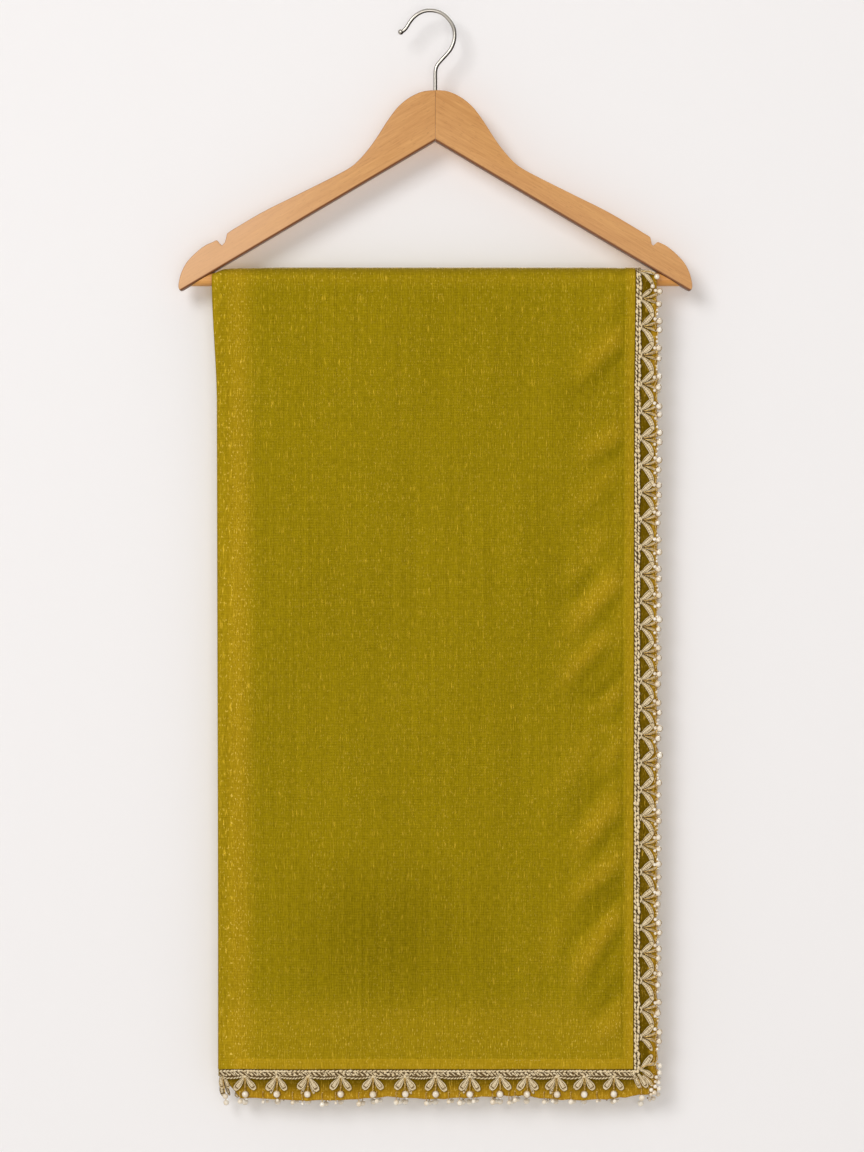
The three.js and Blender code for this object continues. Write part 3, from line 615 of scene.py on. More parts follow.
def bent_line(points, count):
    """Points on a smooth curve through the given x, drop and height."""
    points = np.array(points, float)
    ends = np.concatenate([[2 * points[0] - points[1]], points, [2 * points[-1] - points[-2]]])
    spots = []
    for i in range(len(points) - 1):
        a, b, c, d = ends[i:i + 4]
        for t in np.linspace(0, 1, count, endpoint=False):
            spots.append(0.5 * (2 * b + (c - a) * t + (2 * a - 5 * b + 4 * c - d) * t ** 2
                                + (3 * b - a - 3 * c + d) * t ** 3))
    spots.append(points[-1])
    return np.array(spots)


def thread(bed, points, radius):
    """One strand for cords(), from a few points of x, drop and height."""
    line = bent_line(points, 4)
    return bed(line[:, 0], line[:, 1], line[:, 2]), radius


def twisted(bed, line, lay, strand, spread, step, phase=0.0):
    """Two plies twisted round a line of x, drop and height; lay is the length of one turn."""
    line = np.asarray(line, float)
    lengths = np.concatenate([[0], np.cumsum(np.linalg.norm(np.diff(line, axis=0), axis=1))])
    s = np.arange(0, lengths[-1], step)
    spots = np.stack([np.interp(s, lengths, line[:, k]) for k in range(3)], 1)
    way = np.gradient(spots[:, :2], axis=0)
    way = way / np.linalg.norm(way, axis=1, keepdims=True)
    square = np.stack([-way[:, 1], way[:, 0]], 1)
    made = []
    for ply in (0, 1):
        turn = 2 * math.pi * (s / lay + ply / 2) + phase
        turn = turn + 0.5 * np.sin(s / 37 + phase) + 1.3 * np.sin(s / 6.1 + 3 * phase)
        flat = spots[:, :2] + square * (spread * np.cos(turn))[:, None]
        full = strand * (0.92 + 0.24 * np.sin(turn))
        made.append((bed(flat[:, 0], flat[:, 1], spots[:, 2] + spread * np.sin(turn)), full))
    return made


PATTERNS = {
    "bead": bead_pattern(), "grain": grain_pattern(), "stitch": stitch_pattern(), "leaf": leaf_pattern(),
}

# Where the side lace is tied to its braid, as drops, a little uneven
SIDE_TIES = [17.6, 41.6, 66.4, 91.2, 114.7, 138.2, 161.7, 185.2, 208.8, 232.3, 255.8, 279, 301.2, 324.4,
             348, 371.7, 395.3, 418.9, 442.5, 466.2, 489.8, 513.4, 537, 561.5, 584.1, 607.4, 632.6, 656.4]
TOP_TIE = -6.3


def swing(chance):
    """Steps of chance to either side, up to an amount."""
    return lambda amount: chance.uniform(-amount, amount)


def side_motif(bed, tie, next_tie, chance):
    """The pair of leaves that fills the gap from one tie to the next."""
    span = next_tie - tie
    near = swing(chance)
    tip = 192.4 + near(0.5)
    meet = tie + span * 0.6 + near(0.8)
    upper = leaf_on(bed, [
        (181.4, tie + 0.8), (190.6 + near(0.5), tie + span * 0.22 + near(0.4)), (tip, meet + 2.2)],
        2.4 + near(0.25), 0.5, 1.1, 0.1)
    lower = leaf_on(bed, [
        (181.4, next_tie - 1), (187.2 + near(0.6), next_tie - span * 0.16), (tip + 0.4, meet - 1.6)],
        2.6 + near(0.25), 0.55, 1.15, 0.4)
    return [upper, lower]


def side_stems(bed, tie, chance):
    """Gold stems that spring from a tie, a low dark cord along the slit as painted shade, and a cord that binds
    the tie.
    """
    near = swing(chance)
    rise, fall = 3.6 + near(0.8), 3.3 + near(0.8)
    gold = [
        thread(bed, [(184.5, tie - 0.5, 1.2), (188.5, tie - 0.9, 1.7), (192, tie - 1.9, 1.8),
                     (196.4, tie - rise, 1.4)], 0.5),
        thread(bed, [(185.4, tie + 0.8, 0.9), (188.6, tie + 1.1, 1.4), (192.2, tie + 2, 1.6),
                     (196, tie + fall, 1.4)], 0.46),
    ]
    slit = [
        # A low cord along the slit, dark brown from the thread finish: painted shade in the slit
        thread(bed, [(181.6, tie, 0.5), (186, tie - 0.1, 0.45), (190.6, tie - 0.3, 0.4)], 0.62),
        thread(bed, [(181.2, tie - 2.6, 1.5), (182.4, tie, 2.1), (181.2, tie + 2.6, 1.5)], 0.55),
    ]
    return gold, slit


def side_sprigs(bed, tie, chance):
    """The slim leaves that carry the pearls, above and below the tie."""
    near = swing(chance)
    return [
        leaf_on(bed, [(186.8, tie - 1), (191.4, tie - 1.6), (196.2, tie - 4.6 + near(0.6))],
                0.95 + near(0.1), 0.55, 0.8, 0.9),
        leaf_on(bed, [(187.4, tie + 1.2), (191.6, tie + 1.6), (195.8, tie + 4.2 + near(0.6))],
                0.85 + near(0.1), 0.55, 0.8, 0.8),
    ]


def side_beads(bed, tie, chance):
    """The pearls and gold beads from one tie to the next."""
    near = swing(chance)
    pearls, cups = [], []
    for spot in (
        (197.5 + near(0.6), tie - 5.4 + near(1.4), 1.9, 2.4 + near(0.15)),
        (197.1 + near(0.8), tie + 3.4 + near(1.3), 2.0, 2.3 + near(0.2)),
    ):
        pearls.append(bead_on(bed, *spot))
        if not bed.behind:
            cups.append(cup_on(bed, *spot))
    if chance.random() < 0.8:
        pearls.append(bead_on(bed, 193.9 + near(0.5), tie - 6.4 + near(0.8), 2.1, 1.6))
    if chance.random() < 0.7:
        pearls.append(bead_on(bed, 194 + near(0.5), tie + 5.6 + near(0.9), 2, 1.35))
    gold = cups + [
        bead_on(bed, 195.2 + near(0.4), tie - 2.2 + near(0.5), 1.7, 0.85),
        bead_on(bed, 195 + near(0.4), tie + 1.1 + near(0.5), 1.7, 0.8),
    ]
    for step in (8.2, 11.4, 14.6):
        gold.append(bead_on(bed, 195.3 + near(0.7), tie + step + near(0.9), 1.7, 0.85 + near(0.15)))
    for step in (9.8, 13):
        if chance.random() < 0.7:
            pearls.append(bead_on(bed, 196.1 + near(0.6), tie + step + near(0.8), 1.7, 1.1 + near(0.15)))
    return pearls, gold


def margin_thread(bed, start, end, chance):
    """The fine wavy gold thread that links the pearls."""
    drops = np.arange(start, end, 1.3)
    wobble = 0.9 * np.sin(drops / 3.2 + np.sin(drops / 11)) + 0.5 * np.sin(drops / 1.7 + chance.random())
    height = 1.25 + 0.35 * np.sin(drops / 2.3)
    return bed(195.2 + wobble, drops, height), 0.45


# Where the foot lace's braid ends at the corner, and the middles of its motifs, as x
FOOT_BRAID_END = 178.6
FOOT_MIDDLES = [-160.9, -133.1, -106.4, -78, -50, -22.3, 4.2, 33.8, 60, 83.6, 108.9, 133.1, 158.3]


def foot_motif(bed, hem, middle, chance):
    """Two broad leaves, up to two slim ones behind them, and a pearl on its stem."""
    near = swing(chance)

    def at(x, across, height=None):
        spot = (middle + x, hem + across)
        return spot if height is None else (*spot, height)

    left_tip, right_tip = 8.7 + near(0.7), 8.4 + near(0.7)
    leaves = [
        leaf_on(bed, [at(-0.9, 6.8), at(-3.6, 11.2), at(-left_tip, 17.6 + near(0.9))],
                3.15 + near(0.2), 0.7, 1.3, 0.3),
        leaf_on(bed, [at(0.9, 6.8), at(3.8, 11.4), at(right_tip, 18.2 + near(0.9))],
                3.05 + near(0.2), 0.7, 1.3, 0.3),
    ]
    for way in chance.choice([(), (-1,), (1,), (-1, 1)]):
        leaves.append(leaf_on(bed, [at(way, 8), at(2.8 * way, 14), at(5.6 * way, 21.2 + near(0.6))],
                              1.3, 0.7, 0.8, 0.0))
    stem = [
        thread(bed, [at(-0.55, 6.2, 1.4), at(-0.5, 11, 1.5), at(0, 18.4, 1.6)], 0.42),
        thread(bed, [at(0.55, 6.2, 1.3), at(0.6, 11, 1.4), at(0.25, 18.4, 1.6)], 0.42),
    ]
    pearl_spot = middle + near(0.4), hem + 21.4 + near(0.3) + (1.2 if bed.behind else 0), 2.5, 2.9
    gold = [bead_on(bed, middle, hem + 18.3, 2.1, 0.9)]
    if not bed.behind:
        gold.append(cup_on(bed, *pearl_spot))
    knot = bead_on(bed, middle, hem + 6.3, 1.5, 1.25, "grain")
    return leaves, stem, [bead_on(bed, *pearl_spot)], gold, [knot]


def foot_braid(bed, hem, left, right, ties, chance):
    """A twisted cord along the hem, a row of crossed loops, and a scalloped cord between the ties, over low
    dark cords of painted shade.
    """
    x = np.arange(left, right, 0.9)
    cord = np.stack([x, 0 * x + hem + 1.5, 0 * x + 1.05], 1)
    strands = twisted(bed, cord, 6.6, 0.62, 0.62, 0.8)
    for length, phase in ((8.4, 0), (8.4, math.pi), (5.3, 0.8)):
        turn = 2 * math.pi * x / length + phase + 0.8 * np.sin(x / 13)
        strands.append((bed(x, hem + 4.1 + 1.35 * np.sin(turn), 1.25 + 0.45 * np.cos(turn)), 0.5))
    # Low cords under the braid, dark brown from the thread finish: painted shade between the plies and loops
    for across, radius in ((1.6, 1.0), (3.4, 0.9), (5.0, 0.9), (6.3, 0.7)):
        strands.append((bed(x, hem + across + 0 * x, 0.2 + 0 * x), radius))
    stops = [left - 4, *ties, right + 6]
    sag = []
    for start, end in zip(stops, stops[1:]):
        t = np.linspace(0, 1, 16, endpoint=False)
        spot = start + (end - start) * t
        sag.append(np.stack([spot, hem + 5.9 + 1.9 * np.sin(math.pi * t) ** 0.8, 0 * t + 1.2], 1))
    line = np.concatenate(sag)
    line = line[(line[:, 0] >= left) & (line[:, 0] <= right)]
    strands += twisted(bed, line, 5.6, 0.55, 0.5, 0.75, 1.0)
    loops = np.stack([x, hem + 4.1 + 1.1 * np.sin(x / 1.9), 0 * x + 1.75], 1)
    knots = knots_on(bed, cord + (0, 0, 0.85), 2.9, 1.0, (1.2, 0.8, 0.9), chance)
    knots += knots_on(bed, loops, 4.2, 0.9, (1.1, 0.8, 1), chance)
    return strands, knots


def side_braid(bed, start, end, chance):
    """Two twisted cords side by side down the hem's edge, picked out with knots, over low dark cords of painted
    shade.
    """
    drops = np.arange(start, end, 2.0)
    edge = right_hem(run_at(drops))
    sunk = ease((drops + 10) / 9)
    inner = np.stack([edge + 1.5, drops, mix(0.75, 1.15, sunk)], 1)
    outer = np.stack([edge + 3.95 + 0.4 * np.sin(drops / 4.1), drops, mix(0.75, 1.05, sunk)], 1)
    strands = twisted(bed, inner, 6.8, 0.6, 0.74, 0.9)
    strands += twisted(bed, outer, 6.2, 0.6, 0.74, 0.9, 1.7)
    knots = []
    for line, radius, gap in ((inner, 1.15, 4.3), (outer, 1.25, 3.9)):
        # A low cord under each line, dark brown from the thread finish: painted shade between the plies
        strands.append((bed(line[:, 0], drops, 0.2 + 0 * drops), 1.1))
        knots += knots_on(bed, line[3:] + (0, 0, 0.9), gap, radius, (0.95, 0.75, 1.3), chance)
    return strands, knots


# Single leaves: x and drop of root, bend and tip, half width, taper, thickness and height. The drops
# count from the top tie, the first tie, the last tie and the hem.
TOP_LEAVES = [
    (((181.6, 0.6), (188.5, 3.2), (193, 13.5)), 1.8, 0.5, 0.95, 0.1),
    (((182.2, -0.6), (187.5, -0.2), (194.6, 2.6)), 1.7, 0.6, 0.95, 0.6),
]
FIRST_LEAVES = [(((181.6, -0.9), (186, -4), (191.2, -8.6)), 1.95, 0.55, 1, 0.35)]
LAST_LEAVES = [(((181.2, 1), (188.6, 3.6), (191.4, 12)), 2.1, 0.5, 1.1, 0.1)]
CORNER_LEAVES = [
    (((180.6, 0.2), (186.6, -5), (191.6, -13)), 2.7, 0.6, 1.2, 0.3),
    (((181.8, 0.6), (187.4, 1.4), (192.4, 7.4)), 2.5, 0.6, 1.2, 0.6),
    (((175, 3), (178.4, 8.6), (180.8, 16.4)), 2.2, 0.55, 1.1, 0.2),
    (((179.6, 4), (183.6, 9), (187.4, 15.8)), 2.8, 0.65, 1.2, 0.5),
    (((183.6, 5.6), (188.6, 8.6), (192, 14.6)), 1.7, 0.6, 1, 0.9),
    (((186, -3.4), (190.6, -5.4), (195.4, -4.4)), 1.3, 0.6, 1, 0.9),
]

# Gold threads of the corner: x, drop from the hem and height of each point, then the radius
CORNER_THREADS = [
    (((181.6, -1.4, 1.2), (186, -3.2, 1.6), (190.4, -4.6, 1.6), (193.6, -8.4, 1.4)), 0.5),
    (((183.4, 3.6, 1), (188, 7, 1.6), (192.4, 14, 1.4)), 0.42),
    (((179, 7, 1), (182, 14, 1.5), (182.4, 22, 1.6)), 0.42),
]

# Pearls of the hem's corner: x, distance below the hem and radius
CORNER_PEARLS = [
    (190.8, 17.6, 1.9), (194.2, 14.6, 1.8), (197.6, 16.4, 2.1), (193.6, 20, 2.1), (197.4, 11.2, 1.8),
    (195.2, 6.6, 1.7), (198, 2.6, 2.1), (198.3, -3.4, 2.2), (194.4, 10.4, 1.4), (190.6, 21.4, 1.5),
]

# Pearls along the cloth's lower edge: x, distance below the hem and radius
FRONT_LOW_PEARLS = [
    (-165, 27.9, 2.4), (-145, 28.2, 1.5), (-132.6, 26.7, 1.6), (-119.4, 28.6, 1.9), (-111, 29.6, 1.3),
    (-93.8, 30.2, 2.4), (-82.1, 29, 1.4), (-62, 29.8, 2.5), (-46.6, 27.4, 2.1), (-29.7, 28.6, 2.5),
    (-3.7, 29.3, 2.3), (15.6, 28, 2), (25.1, 28.9, 2.6), (37.2, 27.6, 1.9), (53.7, 28.2, 2.5),
    (67.9, 28.7, 2.1), (73, 26.5, 2.3), (98.3, 28.2, 2.1), (105.6, 27.6, 1.6), (121.4, 28, 2.5),
    (144, 27.4, 1.4), (159.2, 27.4, 1.8),
]
BACK_LOW_PEARLS = [(x + 3, across - 5.8, radius) for x, across, radius in FRONT_LOW_PEARLS]


def leaves_from(table, bed, start):
    return [leaf_on(bed, [(x, start + down) for x, down in points], *sizes)
            for points, *sizes in table]


def close_lace(name, bed, cord_parts, gold_parts, leaves, pearls, gold, knots, hollow):
    """Joins the lace into thread work, gold work and pearls; cords get painted shade, dark brown, below the
    hollow's height.
    """
    leaf_work = join(leaves, f"{name}_leaves")
    finish_with(leaf_work, "SOLIDIFY", thickness=0.55 * MM, offset=-1)
    shade(leaf_work)
    braid = join([cords(f"{name}_braid", cord_parts), *knots], f"{name}_braid")
    places = places_of(braid) / MM
    drop = BAR_Z - places[:, 2]
    rest = np.where(drop > 0, np.abs(places[:, 1]) - mix(BAR_RADIUS, HALF_GAP, ease(drop / CLOSING_DROP)),
                    np.hypot(places[:, 1], places[:, 2] - BAR_Z) - BAR_RADIUS)
    run = np.where(places[:, 1] > 0, -1, 1) * run_at(np.maximum(drop, -8))
    rise = rest - lace_base(places[:, 0], run)
    # Painted shade: the cords turn dark brown below the hollow's height
    note(braid, "tone", ease((rise - hollow) / 1.5))
    note(braid, "satin", 0 * rise)
    note(braid, "along", 0 * rise)
    shade(braid)
    work = join([braid, leaf_work], f"{name}_thread")
    gold_work = join([cords(f"{name}_gold", gold_parts), *gold], f"{name}_gold")
    shade(gold_work)
    pearl_work = join(pearls, f"{name}_pearls")
    shade(pearl_work)
    return work, gold_work, pearl_work


def side_lace(name, bed, hem, ties, chance, knot_chance):
    """The lace of the long edge, from over the bar to the corner of the hem."""
    cord_parts, knots = side_braid(bed, -12.5 if bed.behind else -11.5, hem + 3, knot_chance)
    gold_parts, leaves, pearls, gold = [], [], [], []
    if not bed.behind:
        leaves += leaves_from(TOP_LEAVES, bed, TOP_TIE)
        leaves += leaves_from(FIRST_LEAVES, bed, ties[0])
        gold_parts.append(thread(bed, [(182, TOP_TIE, 1.4), (187, TOP_TIE + 0.3, 1.6),
                                       (192, TOP_TIE + 1.6, 1.6), (195.4, TOP_TIE + 4.4, 1.6)], 0.42))
        pearls += [bead_on(bed, 195.6, TOP_TIE + 5, 2.2, 2.5), bead_on(bed, 191.9, TOP_TIE + 13.2, 2.6, 1.9)]
        gold.append(bead_on(bed, 194.8, TOP_TIE + 9, 1.6, 0.8))
    for i, tie in enumerate(ties):
        if i + 1 < len(ties):
            leaves += side_motif(bed, tie, ties[i + 1], chance)
        stems, slit = side_stems(bed, tie, chance)
        gold_parts += stems
        cord_parts += slit
        leaves += side_sprigs(bed, tie, chance)
        more_pearls, more_gold = side_beads(bed, tie, chance)
        pearls += more_pearls
        gold += more_gold
    gold_parts.append(margin_thread(bed, ties[0] - 4, hem + 8, chance))
    leaves += leaves_from(LAST_LEAVES, bed, ties[-1])
    leaves += leaves_from(CORNER_LEAVES, bed, hem)
    gold_parts += [thread(bed, [(x, hem + down, height) for x, down, height in points], radius)
                   for points, radius in CORNER_THREADS]
    pearls.append(bead_on(bed, 182.6, hem + 24.4, 2.4, 2.75))
    for x, across, radius in CORNER_PEARLS:
        pearls.append(bead_on(bed, x, hem + across, 2.1, radius))
        gold.append(bead_on(bed, x - 1.9, hem + across - 1.7, 1.8, 0.8))
    return close_lace(f"side_lace_{name}", bed, cord_parts, gold_parts, leaves, pearls, gold, knots, 1.28)


def foot_lace(name, bed, hem, chance, knot_chance):
    """The lace of one foot, from the left fold to the corner."""
    left = float(left_edge(run_at(hem))) + 1.4
    cord_parts, knots = foot_braid(bed, hem, left, FOOT_BRAID_END, FOOT_MIDDLES, knot_chance)
    gold_parts, leaves, pearls, gold = [], [], [], []
    for middle in FOOT_MIDDLES:
        found = foot_motif(bed, hem, middle, chance)
        for kept, more in zip((leaves, gold_parts, pearls, gold, knots), found):
            kept += more
    leaves += [
        leaf_on(bed, [(left + 1.2, hem + 5), (left + 0.6, hem + 10), (left + 2.6, hem + 17.6)], 2.1),
        leaf_on(bed, [(left + 3, hem + 6), (left + 6.4, hem + 11), (left + 8.2, hem + 17)], 1.6),
    ]
    gold_parts.append(thread(bed, [(left + 2.4, hem + 6, 1.2), (left + 3.6, hem + 13, 1.5),
                                   (left + 5, hem + 21, 1.5)], 0.42))
    pearls.append(bead_on(bed, left + 5.2, hem + 23.4, 2.2, 2.5))
    thread_top = 6 if bed.behind else 20
    for x, across, radius in BACK_LOW_PEARLS if bed.behind else FRONT_LOW_PEARLS:
        pearls.append(bead_on(bed, x, hem + across, 2, radius))
        gold_parts.append(thread(bed, [(x + 0.6, hem + thread_top, 1.0), (x - 0.4, hem + 0.7 * across, 1.2),
                                       (x, hem + across - 1.8, 1.4)], 0.34))
    return close_lace(f"foot_lace_{name}", bed, cord_parts, gold_parts, leaves, pearls, gold, knots, 1.15)


def hem_stitches():
    """A line of running stitch just inside the turned hems, in front and behind."""
    chance = random.Random(3)
    stitches = []
    for behind, foot in ((False, FRONT_HEM_DROP), (True, BACK_HEM_DROP)):
        bed = bed_on(behind, outer_out, 0.4)
        for x in np.arange(-170, 167, STITCH_STEP):
            sit = foot - HEM_DEPTH + 1.6 + chance.uniform(-0.15, 0.15)
            stitches.append(stitch_on(bed, x, sit, True, 2.4 + chance.uniform(-0.3, 0.3), 0.42))
        for drop in np.arange(4, foot - 10, STITCH_STEP):
            x = float(right_hem(run_at(drop))) - SIDE_HEM_DEPTH + 1.5 + chance.uniform(-0.15, 0.15)
            stitches.append(stitch_on(bed, x, drop, False, 2.3 + chance.uniform(-0.3, 0.3), 0.36))
    made = join(stitches, "hem_stitches")
    shade(made)
    return made


# Hanger: the hook's line as x and z; the arm's top, notch and tip as x from the seam and z
WIRE_RADIUS = 1.65
ARM_EDGE_ROUND = 1.4
BAR_LENGTH = 428  # before its ends are cut to the arms' slope
WIRE_END_RADIUS = 2.4
SPIGOT_RADIUS = 3.5
SEAM = 0.06  # from the hanger's middle to each arm
HOOK_LINE = [
    (-25.9, -17), (-23.9, -16.1), (-21.2, -13.4), (-18.4, -8.9), (-14.7, -4.3), (-9.9, -0.7), (-5, 1.2),
    (0.4, 1.65), (6.5, 0.6), (12, -2.4), (16.9, -7.7), (20, -13.8), (20.8, -19.9), (19.9, -26), (17.3, -32),
    (13.3, -37), (8.9, -41.8), (5.6, -46), (4.2, -50.5), (4, -57), (4, -70), (4, -97),
]
ARM_TOP_LINE = [
    (0, ARM_TOP_Z), (5.5, -68.5), (9.8, -69.1), (13.6, -70.2), (19.4, -72.8), (25.1, -76.4), (30.6, -81),
    (35.3, -86.2), (42.6, -96.4), (50, -108.1), (57.2, -118.3), (66.1, -128.6), (74.9, -135.9),
    (92.5, -145.3), (121.8, -159.9), (151.1, -174.6), (184.8, -194.6),
]
RIGHT_NOTCH = [
    (186.4, -196.6), (187.0, -199.4), (187.3, -201.6), (188.6, -202.9), (190.2, -201.6), (191.6, -200.2),
]
LEFT_NOTCH = [
    (180.6, -193.3), (181.2, -196.4), (182.4, -200.2), (184.6, -202.6), (186.6, -201), (188.4, -198.5),
]
ARM_TIP_LINE = [
    (193.2, -199.9), (198.6, -202.3), (204.2, -206.2), (211.4, -212.8), (216.3, -218.8), (220.2, -226.7),
    (222.1, -234.4), (222.4, -238.8), (221.6, -241.0), (220.2, -241.6),
]


def flat_curve(points, count):
    """More points on a smooth curve through those of an outline."""
    line = bent_line([(x, z, 0) for x, z in points], count)
    return [(x, z) for x, z, _ in line]


def hook():
    """The bent wire with its small ball; its lower right side is noted for the painted shade of its finish."""
    line = bent_line([(x, 0, z) for x, z in HOOK_LINE], 5) * MM
    wire = cords("hook_wire", [(line, WIRE_RADIUS)], roundness=6)
    let_go()
    bpy.ops.mesh.primitive_uv_sphere_add(
        segments=24, ring_count=16, radius=WIRE_END_RADIUS * MM, location=tuple(line[0]))
    bpy.ops.object.transform_apply()
    piece = join([wire, bpy.context.object], "hook_wire")
    shade(piece, 40)
    ways = places_of(piece, "normal")
    # Painted shade on the side of the wire that faces down and to the right
    note(piece, "under", np.clip(0.78 * ways[:, 0] - 0.62 * ways[:, 2], 0, 1))
    return piece


def round_edges(piece, width, at_seam):
    """Rounds the arm's outline on both faces, and hardly at all where the two arms meet."""
    places = places_of(piece) / MM
    ends = np.empty(len(piece.data.edges) * 2, int)
    piece.data.edges.foreach_get("vertices", ends)
    ends = ends.reshape(-1, 2)
    flat = np.abs(places[ends[:, 0], 1] - places[ends[:, 1], 1]) < 0.01
    seam = (np.abs(places[ends, 0] - HANGER_X) < 0.3).all(1)
    weights = piece.data.attributes.new("bevel_weight_edge", "FLOAT", "EDGE")
    weights.data.foreach_set("value", np.where(flat, np.where(seam, at_seam, 1.0), 0.0))
    finish_with(piece, "BEVEL", width=width * MM, segments=4, limit_method="WEIGHT", use_clamp_overlap=True)


def arm(side):
    """One arm: its outline is drawn, filled, pulled to its depth and rounded along its edges."""
    notch = RIGHT_NOTCH if side > 0 else LEFT_NOTCH
    top = flat_curve(ARM_TOP_LINE, 4)
    top = [point for point in top if point[0] < notch[0][0] - 1]
    top.append((notch[0][0] - 0.5, notch[0][1] + 1.2))
    tip = [(notch[-1][0] + 1.4, notch[-1][1] + 0.4), *flat_curve(ARM_TIP_LINE, 3)]
    lower_end = (ARM_LOWER_REACH, ARM_LOWER_APEX_Z - ARM_LOWER_SLOPE * ARM_LOWER_REACH)
    outline = [(SEAM, ARM_TOP_Z), *top[1:], *notch, *tip, lower_end, (SEAM, ARM_LOWER_APEX_Z)]
    let_go()
    bpy.ops.mesh.primitive_circle_add(vertices=len(outline), fill_type="NOTHING")
    piece = bpy.context.object
    move_to(piece, np.array([(HANGER_X + side * x, -ARM_DEPTH / 2, z) for x, z in outline]) * MM)
    bpy.ops.object.mode_set(mode="EDIT")
    bpy.ops.mesh.select_all(action="SELECT")
    bpy.ops.mesh.edge_face_add()
    bpy.ops.mesh.extrude_region_move(TRANSFORM_OT_translate={"value": (0, ARM_DEPTH * MM, 0)})
    bpy.ops.mesh.select_all(action="SELECT")
    bpy.ops.mesh.normals_make_consistent(inside=False)
    bpy.ops.object.mode_set(mode="OBJECT")
    round_edges(piece, ARM_EDGE_ROUND, 0.1)
    name = "hanger_arm_right" if side > 0 else "hanger_arm_left"
    piece.name = piece.data.name = name
    shade(piece, 35)
    return piece


def bar():
    """The trouser bar, cut off to the slope of the arms, with a spigot into each."""
    let_go()
    bpy.ops.mesh.primitive_cylinder_add(
        vertices=64, radius=BAR_RADIUS * MM, depth=BAR_LENGTH * MM, location=(HANGER_X * MM, 0, BAR_Z * MM),
        rotation=(0, math.pi / 2, 0))
    piece = bpy.context.object
    bpy.ops.object.transform_apply()
    for side in (-1, 1):
        bpy.ops.object.mode_set(mode="EDIT")
        bpy.ops.mesh.select_all(action="SELECT")
        bpy.ops.mesh.bisect(
            plane_co=(HANGER_X * MM, 0, (ARM_LOWER_APEX_Z - 0.35) * MM),
            plane_no=(side * ARM_LOWER_SLOPE, 0, 1), use_fill=True, clear_outer=True)
        bpy.ops.object.mode_set(mode="OBJECT")
    spigots = []
    for side in (-1, 1):
        let_go()
        bpy.ops.mesh.primitive_cylinder_add(
            vertices=32, radius=SPIGOT_RADIUS * MM, depth=26 * MM,
            location=((HANGER_X + side * 201) * MM, 0, BAR_Z * MM), rotation=(0, math.pi / 2, 0))
        bpy.ops.object.transform_apply()
        spigots.append(bpy.context.object)
    piece = join([piece, *spigots], "hanger_bar")
    shade(piece, 30)
    return piece


# Finishes
def colour(red, green, blue):
    """A colour as seen, from 0 to 255, as the shader wants it."""
    return tuple(((v / 255 + 0.055) / 1.055) ** 2.4 if v > 10 else v / 255 / 12.92
                 for v in (red, green, blue)) + (1,)


class Socket:
    """An output of a material's nodes. Sums on it add the nodes that work them out."""

    def __init__(self, tree, output=None):
        self.tree = tree
        self.output = output

    def made(self, kind, values=(), result=0, **settings):
        node = self.tree.nodes.new(kind)
        for name, value in settings.items():
            setattr(node, name, value)
        for place, value in dict(values).items():
            if isinstance(value, Socket):
                self.tree.links.new(value.output, node.inputs[place])
            else:
                node.inputs[place].default_value = value
        return Socket(self.tree, node.outputs[result])

    def sum(self, operation, *others):
        return self.made("ShaderNodeMath", enumerate((self, *others)), operation=operation)

    def __add__(self, other):
        return self.sum("ADD", other)

    def __sub__(self, other):
        return self.sum("SUBTRACT", other)

    def __rsub__(self, other):
        return self.made("ShaderNodeMath", {0: other, 1: self}, operation="SUBTRACT")

    def __mul__(self, other):
        return self.sum("MULTIPLY", other)

    __radd__ = __add__
    __rmul__ = __mul__

    def above(self, low, high):
        return self.made("ShaderNodeMapRange", {"Value": self, "From Min": low, "From Max": high},
                         interpolation_type="SMOOTHSTEP")

    def blend(self, first, second):
        """self is the share of the second colour."""
        return self.made("ShaderNodeMix", {0: self, 6: first, 7: second}, result=2, data_type="RGBA")

    def stretched(self, x, y, z=1.0, shift=0.0):
        return self.made("ShaderNodeMapping", {"Vector": self, "Scale": (x, y, z),
                                               "Location": (shift, shift, shift)})

    def noise(self, detail=2.0, rough=0.5, scale=1.0, warp=0.0):
        return self.made("ShaderNodeTexNoise", {"Vector": self, "Scale": scale, "Detail": detail,
                                                "Roughness": rough, "Distortion": warp})

    def wave(self, scale, axis):
        return self.made("ShaderNodeTexWave", {"Vector": self, "Scale": scale}, result=1,
                         bands_direction=axis)

    def bump(self, distance, strength):
        return self.made("ShaderNodeBump", {"Height": self, "Distance": distance, "Strength": strength})

    def kept(self, name):
        """The number that note() kept under this name for each point."""
        return self.made("ShaderNodeAttribute", result=2, attribute_name=name)


def new_finish(name, uv_map=None):
    """A material, and where its patterns lie: on the piece itself, or on its flat layout."""
    material = bpy.data.materials.new(name)
    material.use_nodes = True
    root = Socket(material.node_tree)
    if uv_map:
        return material, root.made("ShaderNodeUVMap", uv_map=uv_map)
    return material, root.made("ShaderNodeTexCoord", result="Object")


def set_shader(material, **values):
    shader = next(n for n in material.node_tree.nodes if n.type == "BSDF_PRINCIPLED")
    for name, value in values.items():
        place = shader.inputs[name.replace("_", " ")]
        if isinstance(value, Socket):
            material.node_tree.links.new(value.output, place)
        else:
            place.default_value = value


